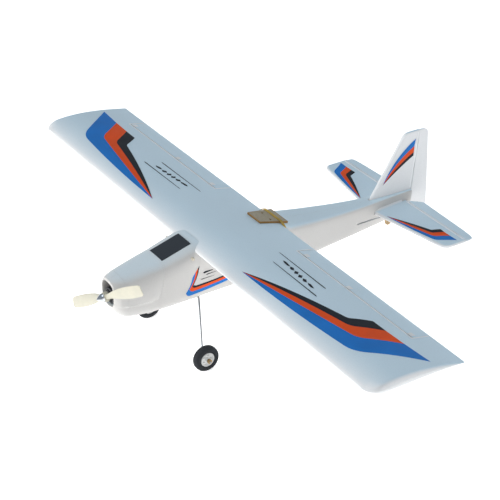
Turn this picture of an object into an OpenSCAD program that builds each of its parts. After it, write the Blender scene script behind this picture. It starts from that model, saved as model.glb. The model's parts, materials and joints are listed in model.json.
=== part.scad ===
// Foam radio-control airplane, high wing, fixed main gear and tail skid.
// Built level: wing leading edge at the origin, nose towards -Y, left wing +X.
// stand() then pitches it nose-up on its wheels and skid.

/* [Wing] */
// span from tip to tip
wing_span = 800; // [600:5:1000]
// chord, leading edge to trailing edge
chord = 136; // [110:1:160]
// greatest foam thickness
wing_t = 15; // [10:0.5:20]
// camber as a share of the chord
camber = 0.025; // [0:0.005:0.05]
// drop of the trailing edge below the leading edge
te_drop = 5; // [0:0.5:10]
// rounding of the tip at the leading edge
tip_r = 18; // [5:1:30]
// inner end of each aileron
aileron_in = 100; // [80:1:150]
// outer end of each aileron
aileron_out = 335; // [280:1:370]
// hinge line behind the leading edge
aileron_y = 109.5; // [95:0.5:120]
// carbon spar tube radius
spar_r = 2.5; // [1.5:0.5:4]

/* [Tail] */
// foam thickness of the tail surfaces
tail_t = 5; // [3:0.5:7]
// height of the stabilizer below the wing leading edge
stab_z = -41.7; // [-60:0.1:-20]
// half span of the stabilizer
stab_half = 139; // [110:1:160]
// elevator hinge line
elev_y = 358; // [340:0.5:370]
// rudder hinge line at stabilizer height
rud_y = 367.6; // [360:0.1:380]
// lean of the rudder hinge line
rud_lean = 6.47; // [0:0.01:12]

/* [Landing gear] */
// tyre radius
tyre_r = 18; // [12:0.5:22]
// tyre width
tyre_w = 12; // [8:0.5:16]
// axle wire radius
wire_r = 1.3; // [0.8:0.1:2]
// half track, to the middle of the tyre
track = 74.5; // [60:0.5:100]
// axle height below the wing leading edge
axle_z = -131.9; // [-150:0.1:-110]
// axle station
axle_y = -13.8; // [-30:0.1:20]

/* [Power] */
// propeller tip radius
prop_r = 112; // [90:1:125]
// propeller blade line above the horizontal
prop_rest = 32; // [0:1:90]
// height of the thrust line
thrust_z = -43.5; // [-55:0.5:-30]
// motor bell radius
bell_r = 11.5; // [9:0.5:14]

/* [Controls] */
// arm length of every servo arm and horn
arm = 12; // [8:0.5:16]
// clearance of moving pins in their holes
run = 0.05; // [0.02:0.01:0.1]
// pushrod wire radius
rod_r = 0.6; // [0.5:0.1:1]

/* [Hidden] */
$fn = 48;
big = 200;
eps = 0.01;
gap = 0.5;
// skid foot, a round end under the tail
skid_y = 334;
skid_z = -69.8;
skid_r = 5;
// standing pitch from the two contact circles
base_d = norm([skid_y - axle_y, skid_z - axle_z]);
pitch = atan2(skid_z - axle_z, skid_y - axle_y) + asin((tyre_r - skid_r) / base_d);
nose_y = -129.6;
tail_end = [395.2, 57.5];
row_front = nose_y * cos(pitch) + thrust_z * sin(pitch);
row_rear = tail_end[0] * cos(pitch) + tail_end[1] * sin(pitch);
lift = tyre_r + axle_y * sin(pitch) - axle_z * cos(pitch);
// fuselage stations: y, half width, top, bottom
fus = [
  [-112, 17.5, -19.5, -58.5], [-109, 19.6, -18.4, -63.5], [-104, 22, -17, -69.4],
  [-97, 24.4, -15.5, -73.6], [-85, 26.6, -13.4, -75.4], [-65, 29.2, -10, -75.8],
  [-42, 31.6, -6, -75], [-20, 33, -0.2, -74.2], [2, 33.6, 5.6, -73.4],
  [20, 33.6, 7, -72.8], [60, 33, 5, -72], [110, 31.5, 0, -70.6],
  [143, 30, -5.5, -69.6], [152, 29, -8.4, -69], [170, 27, -11.6, -68],
  [200, 23.6, -15.8, -66.5], [240, 18.8, -20.5, -65], [280, 14.2, -23.8, -63.6],
  [315, 10.6, -25.2, -61.5], [345, 8.2, -26, -57], [372, 6.6, -26.5, -51]];
sec_n = 48;
sec_pow = 6;
hatch_front = -98;
hatch_z = -51;
magnet_ys = [-92, -66];
hinge_z = mean_z(aileron_y);
spar_y = 40;
servo_y = 62;
servo_z = -1;
al_x = 214;
el_x = 10.3;
el_servo = [el_x, 90, -23.3];
rud_dir = [0, sin(rud_lean), cos(rud_lean)];
rud_horn_z = -33;
rud_servo = [0, 62, -24];
hinge_xs = [114, 205, 328];
elev_hinge_xs = [40, 112];
rud_hinge_zs = [42, 4, -31];
band_y = 137;
peg_y = -6;
peg_z = -6.6;
gear_y = 5;
gear_z = -70.6;
gear_x = 27.5;
knee = 66.4;
holes_x = 10;
// the fuselage top runs back over the wing root to here
notch = 12;

// ---- frame and profile helpers ----

module stand() {
  translate([0, -(row_front + row_rear) / 2, lift])
    rotate([-pitch, 0, 0])
      children();
}

module sides() {
  children();
  mirror([1, 0, 0])
    children();
}

module pick(side) {
  if (side > 0)
    children();
  else
    mirror([1, 0, 0])
      children();
}

function spow(v, p) = sign(v) * pow(abs(v), p);

function mean_z(y) = let (u = y / chord)
  4 * camber * u * (1 - u) * chord - te_drop * u;

function half_t(y) = let (u = max(0, min(1, y / chord)))
  5 * wing_t * (0.2969 * sqrt(u) - 0.126 * u - 0.3516 * pow(u, 2)
  + 0.2843 * pow(u, 3) - 0.1015 * pow(u, 4)) + 0.8 * u;

// chordwise stations, closer together at the nose
foil_y = [for (i = [0:16]) chord * (1 - cos(90 * i / 16))];

module foil() {
  polygon(concat(
    [for (i = [0:16]) [foil_y[i], mean_z(foil_y[i]) + half_t(foil_y[i])]],
    [for (i = [16:-1:1]) [foil_y[i], mean_z(foil_y[i]) - half_t(foil_y[i])]]));
}

// a Y-Z outline extruded along X from x0 to x1
module along_x(x0, x1) {
  translate([x0, 0, 0])
    rotate([90, 0, 90])
      linear_extrude(height = x1 - x0)
        children();
}

module rod_x(x0, x1, r) {
  translate([x0, 0, 0])
    rotate([0, 90, 0])
      cylinder(h = x1 - x0, r = r);
}

module rod_y(y0, y1, r) {
  translate([0, y0, 0])
    rotate([-90, 0, 0])
      cylinder(h = y1 - y0, r = r);
}

module block(a, b) {
  translate(a)
    cube([b[0] - a[0], b[1] - a[1], b[2] - a[2]]);
}

module wire(a, b, r) {
  v = b - a;
  l = norm(v);
  translate(a)
    rotate([0, acos(v[2] / l), atan2(v[1], v[0])])
      cylinder(h = l, r = r, $fn = 24);
}

module loft(secs) {
  n = len(secs[0]);
  m = len(secs);
  polyhedron(
    points = [for (s = secs) for (p = s) p],
    faces = concat(
      [[for (i = [n - 1:-1:0]) i]],
      [for (k = [0:m - 2]) for (i = [0:n - 1])
        [k * n + i, k * n + (i + 1) % n, (k + 1) * n + (i + 1) % n]],
      [for (k = [0:m - 2]) for (i = [0:n - 1])
        [k * n + i, (k + 1) * n + (i + 1) % n, (k + 1) * n + i]],
      [[for (i = [0:n - 1]) (m - 1) * n + i]]));
}

function ring(y, w, top, bot) = [for (i = [0:sec_n - 1]) let (a = 360 * i / sec_n)
  [w * spow(cos(a), 2 / sec_pow), y,
   (top + bot) / 2 + (top - bot) / 2 * spow(sin(a), 2 / sec_pow)]];

module fus_outer() {
  loft([for (s = fus) ring(s[0], s[1], s[2], s[3])]);
}

module fus_inner() {
  loft([for (s = fus) if (s[0] > -90 && s[0] < 300)
    let (t = s[0] < 150 ? 6 : 4) ring(s[0], s[1] - t, s[2] - t, s[3] + t)]);
}

// ---- shared cutters ----

module wing_seat() {
  along_x(-60, 60)
    polygon(concat(
      [[notch, mean_z(notch) - half_t(notch)]],
      [for (i = [0:16]) if (foil_y[i] > notch) [foil_y[i], mean_z(foil_y[i]) - half_t(foil_y[i])]],
      [[144, -te_drop - 1], [144, 40], [notch, 40]]));
}

module stab_section() {
  polygon([[300, stab_z - 1], [301.5, stab_z - tail_t / 2], [elev_y - gap, stab_z - tail_t / 2],
    [elev_y - gap, stab_z + tail_t / 2], [301.5, stab_z + tail_t / 2], [300, stab_z + 1]]);
}

module fin_outline() {
  polygon([[297, -31], [300.5, -21], [323.5, 15], [346.9, 53], [350.8, 59], [356, 62.4],
    [367, 63.2], [379.3, 62.5], [rud_at(62.5) - gap, 62.5], [rud_at(-31) - gap, -31]]);
}

function rud_at(z) = rud_y + (z - stab_z) * tan(rud_lean);

module on_rudder(z) {
  translate([0, rud_at(z), z])
    rotate([-rud_lean, 0, 0])
      children();
}

// ---- hinges: leaf and barrel on the fixed side, leaf and pin on the moving side ----

module leaf_fixed() {
  difference() {
    union() {
      block([-2, -9, -0.4], [2, 0, 0.4]);
      rod_x(-2, 2, 1.3);
    }
    rod_x(-3, 3, 0.6 + run);
  }
}

module leaf_moving() {
  rod_x(-5, 5, 0.6);
  for (s = [-1, 1])
    translate([s * 3.7, 0, 0]) {
      rod_x(-1.3, 1.3, 1.3);
      block([-1.3, 0, -0.4], [1.3, 9, 0.4]);
    }
}

module leaf_pocket() {
  rod_x(-5.6, 5.6, 1.9);
}

module at_ailerons() {
  for (x = hinge_xs)
    translate([x, aileron_y, hinge_z])
      children();
}

module at_elevators() {
  for (x = elev_hinge_xs)
    translate([x, elev_y, stab_z])
      children();
}

module at_rudder() {
  for (z = rud_hinge_zs)
    on_rudder(z)
      rotate([0, 90, 0])
        children();
}

// ---- fuselage ----

// side view of the hatch opening, shrunk by g for the hatch itself
module hatch_outline(g) {
  polygon([[hatch_front + g, hatch_z + g], [-56.4 - g, hatch_z + g], [-52.7 - g, -43.7],
    [-43.5 - g, -6], [-43.5 - g, 40], [hatch_front + g, 40]]);
}

// air opening in the nose, narrowing back to the motor space
module nose_opening() {
  loft([ring(-113, 14.5, -22.5, -56), ring(-84.5, 14.5, -26, -58)]);
}

module magnets(z) {
  sides()
    for (y = magnet_ys)
      translate([y < -80 ? 22.6 : 25.8, y, z])
        cylinder(h = 2, r = 2, $fn = 24);
}

module fus_shell() {
  difference() {
    fus_outer();
    fus_inner();
    wing_seat();
    nose_opening();
    along_x(-60, 60)
      hatch_outline(0);
    magnets(hatch_z - 2);
    along_x(-30, 30)
      stab_section();
    along_x(-tail_t / 2, tail_t / 2)
      fin_outline();
    translate([0, rud_at(stab_z) - gap, stab_z])
      rotate([-rud_lean, 0, 0])
        block([-20, 0, -60], [20, 60, 60]);
    translate([0, elev_y, stab_z])
      rod_x(-30, 30, 1.6);
    translate([0, band_y, -20])
      rod_x(-50, 50, 2);
    translate([0, peg_y, peg_z])
      rod_x(-50, 50, 2);
    along_x(8, 22)
      polygon([[246, -43.9], [246, -48.1], [310, -52.6], [310, -48.4]]);
    along_x(-13.2, -8)
      polygon([[236, -25.4], [236, -28.5], [280, -29.8], [280, -26.7]]);
    along_x(-22, -8)
      polygon([[272, -26.5], [272, -29.6], [316, -30.8], [316, -27.7]]);
    block([-1.25, 325, -66], [1.25, 343, -54]);
    at_rudder()
      leaf_pocket();
    at_rudder()
      leaf_fixed();
    on_rudder(rud_horn_z)
      block([-13, -30, -3], [-2.4, 0, 3]);
    block([-gear_x - 2, gear_y - wire_r - 0.2, -90], [gear_x + 2, gear_y + wire_r + 0.2, gear_z + wire_r + 0.1]);
  }
}

module fuselage_left() {
  color([0.84, 0.85, 0.85])
    stand()
      intersection() {
        fus_shell();
        block([0, -big, -big], [big, 3 * big, big]);
      }
}

module fuselage_right() {
  color([0.84, 0.85, 0.85])
    stand()
      intersection() {
        fus_shell();
        block([-big, -big, -big], [0, 3 * big, big]);
      }
}

module canopy_hatch() {
  color([0.86, 0.87, 0.87])
    stand()
      difference() {
        intersection() {
          fus_outer();
          along_x(-60, 60)
            hatch_outline(0.3);
        }
        fus_inner();
        block([-14.5, -113, -60], [14.5, -84.5, thrust_z]);
        nose_opening();
        magnets(hatch_z + 0.3);
      }
}

module windscreen() {
  color([0.13, 0.15, 0.17])
    stand()
      translate([0, -42, -6.2])
        rotate([atan2(11.2, 43.4), 0, 0])
          block([-15.6, 0, -1], [15.6, 44, 0.8]);
}

module hatch_magnets() {
  color([0.72, 0.73, 0.75])
    stand()
      magnets(hatch_z + 0.3);
}

module body_magnets() {
  color([0.72, 0.73, 0.75])
    stand()
      magnets(hatch_z - 2);
}

// ---- wing ----

module wing_blank() {
  intersection() {
    along_x(-wing_span / 2, wing_span / 2)
      foil();
    translate([0, 0, -40])
      linear_extrude(height = 80)
        union() {
          square_mid(wing_span / 2 - tip_r, 0, chord + 1);
          square_mid(wing_span / 2, tip_r, chord + 1);
          for (s = [-1, 1])
            translate([s * (wing_span / 2 - tip_r), tip_r])
              circle(r = tip_r);
        }
  }
}

module square_mid(hx, y0, y1) {
  translate([-hx, y0])
    square([2 * hx, y1 - y0]);
}

module plate_holes(z0, z1) {
  sides()
    translate([holes_x, 127, z0])
      cylinder(h = z1 - z0, r = 1.6);
}

module servo_pocket() {
  translate([al_x, servo_y, servo_z]) {
    block([-25, -15.2, -14], [-2.4, 6.2, 4.3]);
    block([-2.6, -9, -14], [4, 9, 4]);
  }
}

module wing() {
  color([0.80, 0.85, 0.90])
    stand()
      difference() {
        wing_blank();
        translate([0, spar_y, mean_z(spar_y)])
          rod_x(-300, 300, spar_r);
        sides() {
          block([aileron_in - 0.8, aileron_y - 1, -40], [aileron_out + 0.8, chord + 5, 40]);
          at_ailerons()
            leaf_pocket();
          at_ailerons()
            leaf_fixed();
          servo_pocket();
        }
        plate_holes(-20, 20);
        block([-34.2, -5, -30], [34.2, notch + 0.1, 30]);
      }
}

module wing_spar() {
  color([0.12, 0.12, 0.13])
    stand()
      translate([0, spar_y, mean_z(spar_y)])
        difference() {
          rod_x(-300, 300, spar_r);
          rod_x(-301, 301, spar_r - 1);
        }
}

// plate glued over the trailing edge, wider at the back
module wing_plate() {
  color([0.66, 0.62, 0.55])
    stand()
      difference() {
        translate([0, 0, plate_low])
          rotate([-plate_slope, 0, 0])
            linear_extrude(height = 2.5)
              polygon([[-15.2, 107], [-20, 148.5], [20, 148.5], [15.2, 107]]);
        plate_holes(-20, 20);
      }
}
plate_slope = atan((mean_z(109.5) + half_t(109.5) - mean_z(136) - half_t(136)) / 26.5);
plate_low = mean_z(109.5) + half_t(109.5) + 109.5 * tan(plate_slope) + 0.27;

module aileron_shape() {
  difference() {
    intersection() {
      along_x(aileron_in, aileron_out)
        foil();
      along_x(aileron_in, aileron_out)
        polygon([[aileron_y, hinge_z], [aileron_y + 20 * tan(26), hinge_z + 20],
          [chord + 5, hinge_z + 20], [chord + 5, hinge_z - 20],
          [aileron_y + 20 * tan(26), hinge_z - 20]]);
    }
    at_ailerons()
      leaf_pocket();
    at_ailerons()
      leaf_moving();
    translate([al_x, aileron_y, hinge_z])
      horn_plate();
  }
}

module aileron_left() {
  color([0.80, 0.85, 0.90])
    stand()
      aileron_shape();
}

module aileron_right() {
  color([0.80, 0.85, 0.90])
    stand()
      pick(-1)
        aileron_shape();
}

module aileron_fittings_left() {
  color([0.93, 0.93, 0.91])
    stand()
      pick(1) {
        at_ailerons()
          leaf_moving();
        translate([al_x, aileron_y, hinge_z])
          horn_plate();
      }
}

module aileron_fittings_right() {
  color([0.93, 0.93, 0.91])
    stand()
      pick(-1) {
        at_ailerons()
          leaf_moving();
        translate([al_x, aileron_y, hinge_z])
          horn_plate();
      }
}

// horn in the Y-Z plane: hole straight below the hinge axis, foot behind it
module horn_plate() {
  difference() {
    along_x(-0.8, 0.8)
      union() {
        polygon([[-1.8, -arm], [1.6, -arm - 1], [13, -4], [13, 1], [3.4, 1], [2.9, -3]]);
        translate([0, -arm])
          circle(r = 2);
      }
    translate([0, 0, -arm])
      rod_x(-2, 2, rod_r + run);
  }
}

// ---- servos: output along local X at the origin, arm hole straight below ----

module servo_case() {
  difference() {
    union() {
      block([-19.6, -14.8, -4.2], [-4.4, 5.8, 4.2]);
      block([-9.6, -18.6, -4.2], [-8, 9.6, 4.2]);
      rod_x(-4.4, -1.4, 4);
    }
    rod_x(-6, 0, 2 + run);
  }
}

module servo_arm() {
  difference() {
    union() {
      rod_x(-5.8, -0.8, 2);
      rod_x(-0.8, 0.8, 3.2);
      along_x(-0.8, 0.8)
        polygon([[-3, -1], [-1.8, -arm], [1.8, -arm], [3, -1]]);
      translate([0, 0, -arm])
        rod_x(-0.8, 0.8, 1.9);
    }
    translate([0, 0, -arm])
      rod_x(-2, 2, rod_r + run);
  }
}

module servo_aileron_left() {
  color([0.20, 0.25, 0.36])
    stand()
      translate([al_x, servo_y, servo_z])
        servo_body_wing();
}

module servo_aileron_right() {
  color([0.20, 0.25, 0.36])
    stand()
      pick(-1)
        translate([al_x, servo_y, servo_z])
          servo_body_wing();
}

// wing servos have their mounting ears trimmed off
module servo_body_wing() {
  difference() {
    union() {
      block([-22.6, -14.8, -4.2], [-4.4, 5.8, 4.2]);
      rod_x(-4.4, -1.4, 4);
    }
    rod_x(-6, 0, 2 + run);
  }
}

module arm_aileron_left() {
  color([0.94, 0.94, 0.92])
    stand()
      translate([al_x, servo_y, servo_z])
        servo_arm();
}

module arm_aileron_right() {
  color([0.94, 0.94, 0.92])
    stand()
      pick(-1)
        translate([al_x, servo_y, servo_z])
          servo_arm();
}

// straight wire beside the arms, with a short bend through each hole
module pushrod(v) {
  o = [2.2, 0, 0];
  wire(o, v + o, rod_r);
  for (e = [[0, 0, 0], v])
    translate(e) {
      rod_x(-1.6, 2.2, rod_r);
      translate(o)
        sphere(r = rod_r + 0.04, $fn = 24);
    }
}

module pushrod_aileron_left() {
  color([0.6, 0.61, 0.63])
    stand()
      translate([al_x, servo_y, servo_z - arm])
        pushrod([0, aileron_y - servo_y, hinge_z - servo_z]);
}

module pushrod_aileron_right() {
  color([0.6, 0.61, 0.63])
    stand()
      pick(-1)
        translate([al_x, servo_y, servo_z - arm])
          pushrod([0, aileron_y - servo_y, hinge_z - servo_z]);
}

module servo_elevator() {
  color([0.20, 0.25, 0.36])
    stand()
      translate(el_servo)
        servo_case();
}

module arm_elevator() {
  color([0.94, 0.94, 0.92])
    stand()
      translate(el_servo)
        servo_arm();
}

module pushrod_elevator() {
  color([0.6, 0.61, 0.63])
    stand()
      translate(el_servo - [0, 0, arm])
        pushrod([0, elev_y, stab_z] - [0, el_servo[1], el_servo[2]]);
}

// turns the X-output servo so its output stands along the rudder hinge line
module rudder_turn() {
  rotate([-rud_lean, 0, 0])
    rotate([0, 90, 0])
      rotate([180, 0, 0])
        children();
}

module servo_rudder() {
  color([0.20, 0.25, 0.36])
    stand()
      translate(rud_servo)
        rudder_turn()
          mirror([1, 0, 0])
            servo_case();
}

module arm_rudder() {
  color([0.94, 0.94, 0.92])
    stand()
      translate(rud_servo)
        rudder_turn()
          mirror([1, 0, 0])
            servo_arm();
}

module pushrod_rudder() {
  a = rud_servo + [-arm, 0, 0];
  b = [-arm, rud_at(rud_horn_z), rud_horn_z];
  color([0.6, 0.61, 0.63])
    stand() {
      wire(a + 2.2 * rud_dir, b + 2.2 * rud_dir, rod_r);
      for (e = [a, b]) {
        translate(e)
          rotate([-rud_lean, 0, 0])
            translate([0, 0, -1.6])
              cylinder(h = 3.8, r = rod_r, $fn = 24);
        translate(e + 2.2 * rud_dir)
          sphere(r = rod_r + 0.04, $fn = 24);
      }
    }
}

module servo_tray() {
  color([0.72, 0.60, 0.44])
    stand()
      difference() {
        translate([0, 0, -29.8])
          linear_extrude(height = 2.2)
            polygon([[-27, 40], [-26.8, 60], [-25.2, 112], [25.2, 112], [26.8, 60], [27, 40]]);
        translate(rud_servo)
          rudder_turn()
            mirror([1, 0, 0])
              block([-23.5, -15.1, -4.5], [-2, 6.1, 4.5]);
        block([8.8, 74, -31], [14, 106, -27]);
      }
}

// ---- tail ----

module stabilizer() {
  color([0.80, 0.85, 0.90])
    stand()
      difference() {
        intersection() {
          along_x(-stab_half, stab_half)
            stab_section();
          translate([0, 0, stab_z - 10])
            linear_extrude(height = 20)
              polygon(concat(tail_side(1), tail_side(-1)));
        }
        sides() {
          at_elevators()
            leaf_pocket();
          at_elevators()
            leaf_fixed();
        }
        translate([0, elev_y, stab_z])
          rod_x(-19, 19, 1.4);
        block([el_x - 1.1, elev_y - 3.9, stab_z - 5], [el_x + 1.1, elev_y + 1, stab_z + 5]);
      }
}

function tail_side(s) = let (p = [[0, 296], [12, 299.5], [48, 306], [104, 315.6],
  [stab_half - 5, 320.6], [stab_half - 0.8, 328], [stab_half, 340], [stab_half, elev_y + 5]])
  s > 0 ? [for (q = p) q] : [for (i = [len(p) - 1:-1:1]) [-p[i][0], p[i][1]]];

module fixed_hinges() {
  color([0.93, 0.93, 0.91])
    stand() {
      sides() {
        at_ailerons()
          leaf_fixed();
        at_elevators()
          leaf_fixed();
      }
      at_rudder()
        leaf_fixed();
    }
}

module elevator_shape() {
  difference() {
    intersection() {
      along_x(0, stab_half)
        polygon([[elev_y, stab_z], [elev_y + 1.3, stab_z + tail_t / 2],
          [377.5, stab_z + 1], [377.5, stab_z - 1], [elev_y + 1.3, stab_z - tail_t / 2]]);
      translate([0, 0, stab_z - 10])
        linear_extrude(height = 20)
          polygon([[12, elev_y - 1], [12, elev_y + 2], [23.5, 377], [stab_half - 25, 373.8],
            [stab_half - 2, 371.4], [stab_half - 0.2, 368], [stab_half, elev_y - 1]]);
    }
    at_elevators()
      leaf_pocket();
    at_elevators()
      leaf_moving();
    joiner_leg();
  }
}

module joiner_leg() {
  wire([17, elev_y, stab_z], [17, elev_y + 13, stab_z], 1);
  translate([0, elev_y, stab_z])
    rod_x(0, 17, 1);
  translate([17, elev_y, stab_z])
    sphere(r = 1, $fn = 24);
}

module elevator_left() {
  color([0.80, 0.85, 0.90])
    stand()
      difference() {
        elevator_shape();
        translate([el_x, elev_y, stab_z])
          horn_plate();
        block([10, elev_y - 1, stab_z - 10], [12.6 + 0.4, elev_y + 14, stab_z + 10]);
      }
}

module elevator_right() {
  color([0.80, 0.85, 0.90])
    stand()
      pick(-1)
        elevator_shape();
}

module elevator_joiner() {
  color([0.6, 0.61, 0.63])
    stand()
      sides()
        joiner_leg();
}

module elevator_fittings() {
  color([0.93, 0.93, 0.91])
    stand() {
      sides()
        at_elevators()
          leaf_moving();
      translate([el_x, elev_y, stab_z])
        horn_clamp();
    }
}

// clamped on the joiner wire beside the left elevator
module horn_clamp() {
  difference() {
    along_x(-0.8, 0.8)
      union() {
        polygon([[-1.8, -arm], [1.8, -arm], [3, 0], [-3, 0]]);
        translate([0, -arm])
          circle(r = 2);
        circle(r = 3);
      }
    translate([0, 0, -arm])
      rod_x(-2, 2, rod_r + run);
    rod_x(-2, 2, 1);
  }
}

module fin() {
  color([0.80, 0.85, 0.90])
    stand()
      difference() {
        along_x(-tail_t / 2, tail_t / 2)
          fin_outline();
        at_rudder()
          leaf_pocket();
        at_rudder()
          leaf_fixed();
      }
}

module rudder() {
  color([0.80, 0.85, 0.90])
    stand()
      difference() {
        intersection() {
          along_x(-tail_t / 2, tail_t / 2)
            polygon([[rud_at(62) - 3, 62.5], [381, 62.5], [390, 61.7], [tail_end[0], tail_end[1]],
              [397.3, 9.8], [399, -38.5], [397.8, -59.5], [rud_at(-49) - 3, -48.8]]);
          translate([0, rud_at(stab_z), stab_z])
            rotate([-rud_lean, 0, 0])
              translate([0, 0, -60])
                linear_extrude(height = 180)
                  polygon([[0, 0], [tail_t / 2, 1.3], [tail_t / 2, 6], [1, 34], [-1, 34],
                    [-tail_t / 2, 6], [-tail_t / 2, 1.3]]);
        }
        at_rudder()
          leaf_pocket();
        at_rudder()
          leaf_moving();
        horn_rudder_shape();
      }
}

module rudder_fittings() {
  color([0.93, 0.93, 0.91])
    stand() {
      at_rudder()
        leaf_moving();
      horn_rudder_shape();
    }
}

module horn_rudder_shape() {
  on_rudder(rud_horn_z)
    difference() {
      translate([0, 0, -0.8])
        linear_extrude(height = 1.6)
          union() {
            polygon([[-arm, -1.8], [-2.9, 2.6], [1, 3.4], [1, 13], [-3.2, 13], [-arm, 1.8]]);
            translate([-arm, 0])
              circle(r = 2);
          }
      translate([-arm, 0, -2])
        cylinder(h = 4, r = rod_r + run);
    }
}

module tail_skid() {
  color([0.74, 0.58, 0.36])
    stand()
      along_x(-1.25, 1.25)
        union() {
          polygon([[326, -56], [342, -56], [skid_y + 4, skid_z], [skid_y - 4, skid_z]]);
          translate([skid_y, skid_z])
            circle(r = skid_r);
        }
}

// ---- rubber band and dowels ----

module dowels() {
  color([0.80, 0.68, 0.48])
    stand() {
      translate([0, band_y, -20])
        rod_x(-38, 38, 2);
      translate([0, peg_y, peg_z])
        rod_x(-34.7, 34.7, 2);
    }
}

module wing_band() {
  color([0.72, 0.58, 0.20])
    stand() {
      translate([0, band_y - 0.8, 0])
        difference() {
          block([-34.2, 0, -20], [34.2, 3, band_top + 1.2]);
          block([-33, -1, -30], [33, 5, band_top]);
          rod_mid();
        }
      sides()
        translate([33, band_y, -20])
          difference() {
            rod_x(0, 1.2, 3.3);
            rod_x(-1, 3, 2);
          }
    }
}
band_top = plate_low + 2.5 / cos(plate_slope) - (band_y - 0.8) * tan(plate_slope) + 0.1;

module rod_mid() {
  translate([0, 0.8, -20])
    rod_x(-40, 40, 2);
}

// ---- landing gear ----

module gear_wire() {
  a = [gear_x, gear_y, gear_z];
  b = [knee, axle_y, axle_z];
  color([0.55, 0.56, 0.58])
    stand() {
      translate([0, gear_y, gear_z])
        rod_x(-gear_x, gear_x, wire_r);
      sides() {
        translate(a)
          sphere(r = wire_r + 0.05, $fn = 24);
        wire(a, b, wire_r);
        translate(b)
          sphere(r = wire_r + 0.05, $fn = 24);
        translate([0, axle_y, axle_z])
          rod_x(knee, track + 12, wire_r);
      }
    }
}

module gear_plate() {
  color([0.90, 0.90, 0.88])
    stand()
      difference() {
        block([-20, gear_y - 7, -75.2], [20, gear_y + 7, -73.6]);
        sides()
          for (y = [-4.6, 4.6])
            translate([14, gear_y + y, -80])
              cylinder(h = 10, r = 1);
      }
}

module tyre_shape() {
  translate([track, axle_y, axle_z])
    rotate([0, 90, 0])
      rotate_extrude($fn = 72)
        polygon([[9.8, -4.4], [11, -5.6], [13.6, -tyre_w / 2], [16, -5.2], [17.4, -3.4],
          [tyre_r, -1.2], [tyre_r, 1.2], [17.4, 3.4], [16, 5.2], [13.6, tyre_w / 2],
          [11, 5.6], [9.8, 4.4]]);
}

module hub_shape() {
  translate([track, axle_y, axle_z])
    rotate([0, 90, 0])
      rotate_extrude()
        polygon([[wire_r + 0.08, -6.4], [3, -6.4], [3.2, -3], [8.2, -2.4], [8.8, -5], [9.8, -4.4],
          [9.8, 4.4], [8.8, 5], [8.2, 2.4], [3.2, 3], [3, 6.4], [wire_r + 0.08, 6.4]]);
}

module tyre_left() {
  color([0.12, 0.12, 0.13])
    stand()
      tyre_shape();
}

module tyre_right() {
  color([0.12, 0.12, 0.13])
    stand()
      pick(-1)
        tyre_shape();
}

module hub_left() {
  color([0.93, 0.93, 0.92])
    stand()
      hub_shape();
}

module hub_right() {
  color([0.93, 0.93, 0.92])
    stand()
      pick(-1)
        hub_shape();
}

module wheel_collars() {
  color([0.62, 0.46, 0.24])
    stand()
      sides()
        translate([0, axle_y, axle_z])
          difference() {
            rod_x(track + 7, track + 11, 3);
            rod_x(track + 6, track + 13, wire_r);
          }
}

// ---- motor and propeller, spinning about the thrust line ----

module thrust() {
  translate([0, 0, thrust_z])
    children();
}

module firewall() {
  color([0.72, 0.60, 0.44])
    stand()
      thrust()
        difference() {
          block([-18, -84.4, -22], [18, -81.4, 18]);
          rod_y(-90, -80, 3);
          for (a = [45:90:315])
            rotate([0, a, 0])
              translate([0, 0, 8])
                rod_y(-90, -80, 1);
        }
}

module motor_mount() {
  color([0.75, 0.76, 0.78])
    stand()
      thrust()
        difference() {
          union() {
            rod_y(-86.4, -84.4, 6);
            for (a = [45, 135])
              rotate([0, a, 0])
                block([-2.6, -86.4, -10.5], [2.6, -84.4, 10.5]);
          }
          rod_y(-90, -80, 1.5 + run);
          for (a = [45:90:315])
            rotate([0, a, 0])
              translate([0, 0, 8])
                rod_y(-90, -80, 1);
        }
}

module screws() {
  color([0.30, 0.30, 0.32])
    stand() {
      thrust()
        for (a = [45:90:315])
          rotate([0, a, 0])
            translate([0, 0, 8]) {
              rod_y(-86.4, -82, 1);
              rod_y(-87.6, -86.4, 1.9);
            }
      sides()
        for (y = [-4.6, 4.6])
          translate([14, gear_y + y, -76.2]) {
            cylinder(h = 1, r = 2);
            cylinder(h = 2.6, r = 1);
          }
    }
}

module motor_stator() {
  color([0.22, 0.22, 0.24])
    stand()
      thrust()
        difference() {
          union() {
            rod_y(-90, -86.4, 6);
            rod_y(-106, -90, 3.2);
            rod_y(-105, -92, 6);
            for (a = [0:40:320])
              rotate([0, a, 0]) {
                block([-0.9, -104.6, 4], [0.9, -92.4, 8.8]);
                block([-2.6, -104.8, 8.2], [2.6, -92.2, 9.2]);
              }
          }
          rod_y(-107, -84, 1.5 + run);
        }
}

module stator_windings() {
  color([0.72, 0.42, 0.22])
    stand()
      thrust()
        for (a = [0:40:320])
          rotate([0, a, 0])
            for (s = [-1, 1])
              block([s * 1.5 - 0.6, -105.6, 6.4], [s * 1.5 + 0.6, -91.4, 8.2]);
}

module motor_bell() {
  color([0.16, 0.16, 0.18])
    stand()
      thrust()
        difference() {
          union() {
            difference() {
              rod_y(-110.5, -91, bell_r);
              rod_y(-108.5, -90, bell_r - 1);
            }
            rod_y(-108.5, -106.8, 3);
          }
          rod_y(-112, -100, 1.5);
          for (a = [0:60:300])
            rotate([0, a, 0])
              translate([0, 0, 7])
                rod_y(-112, -108, 1.8);
        }
}

module bell_magnets() {
  color([0.60, 0.61, 0.63])
    stand()
      thrust()
        for (a = [15:30:345])
          rotate([0, a, 0])
            block([-1.8, -105, 9.6], [1.8, -93, bell_r - 1.16]);
}

module prop_shaft() {
  color([0.70, 0.71, 0.73])
    stand()
      thrust() {
        rod_y(-122, -87, 1.5);
        difference() {
          rod_y(-113.4, -110.5, 5);
          rod_y(-114, -110, 1.5);
        }
      }
}

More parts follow.
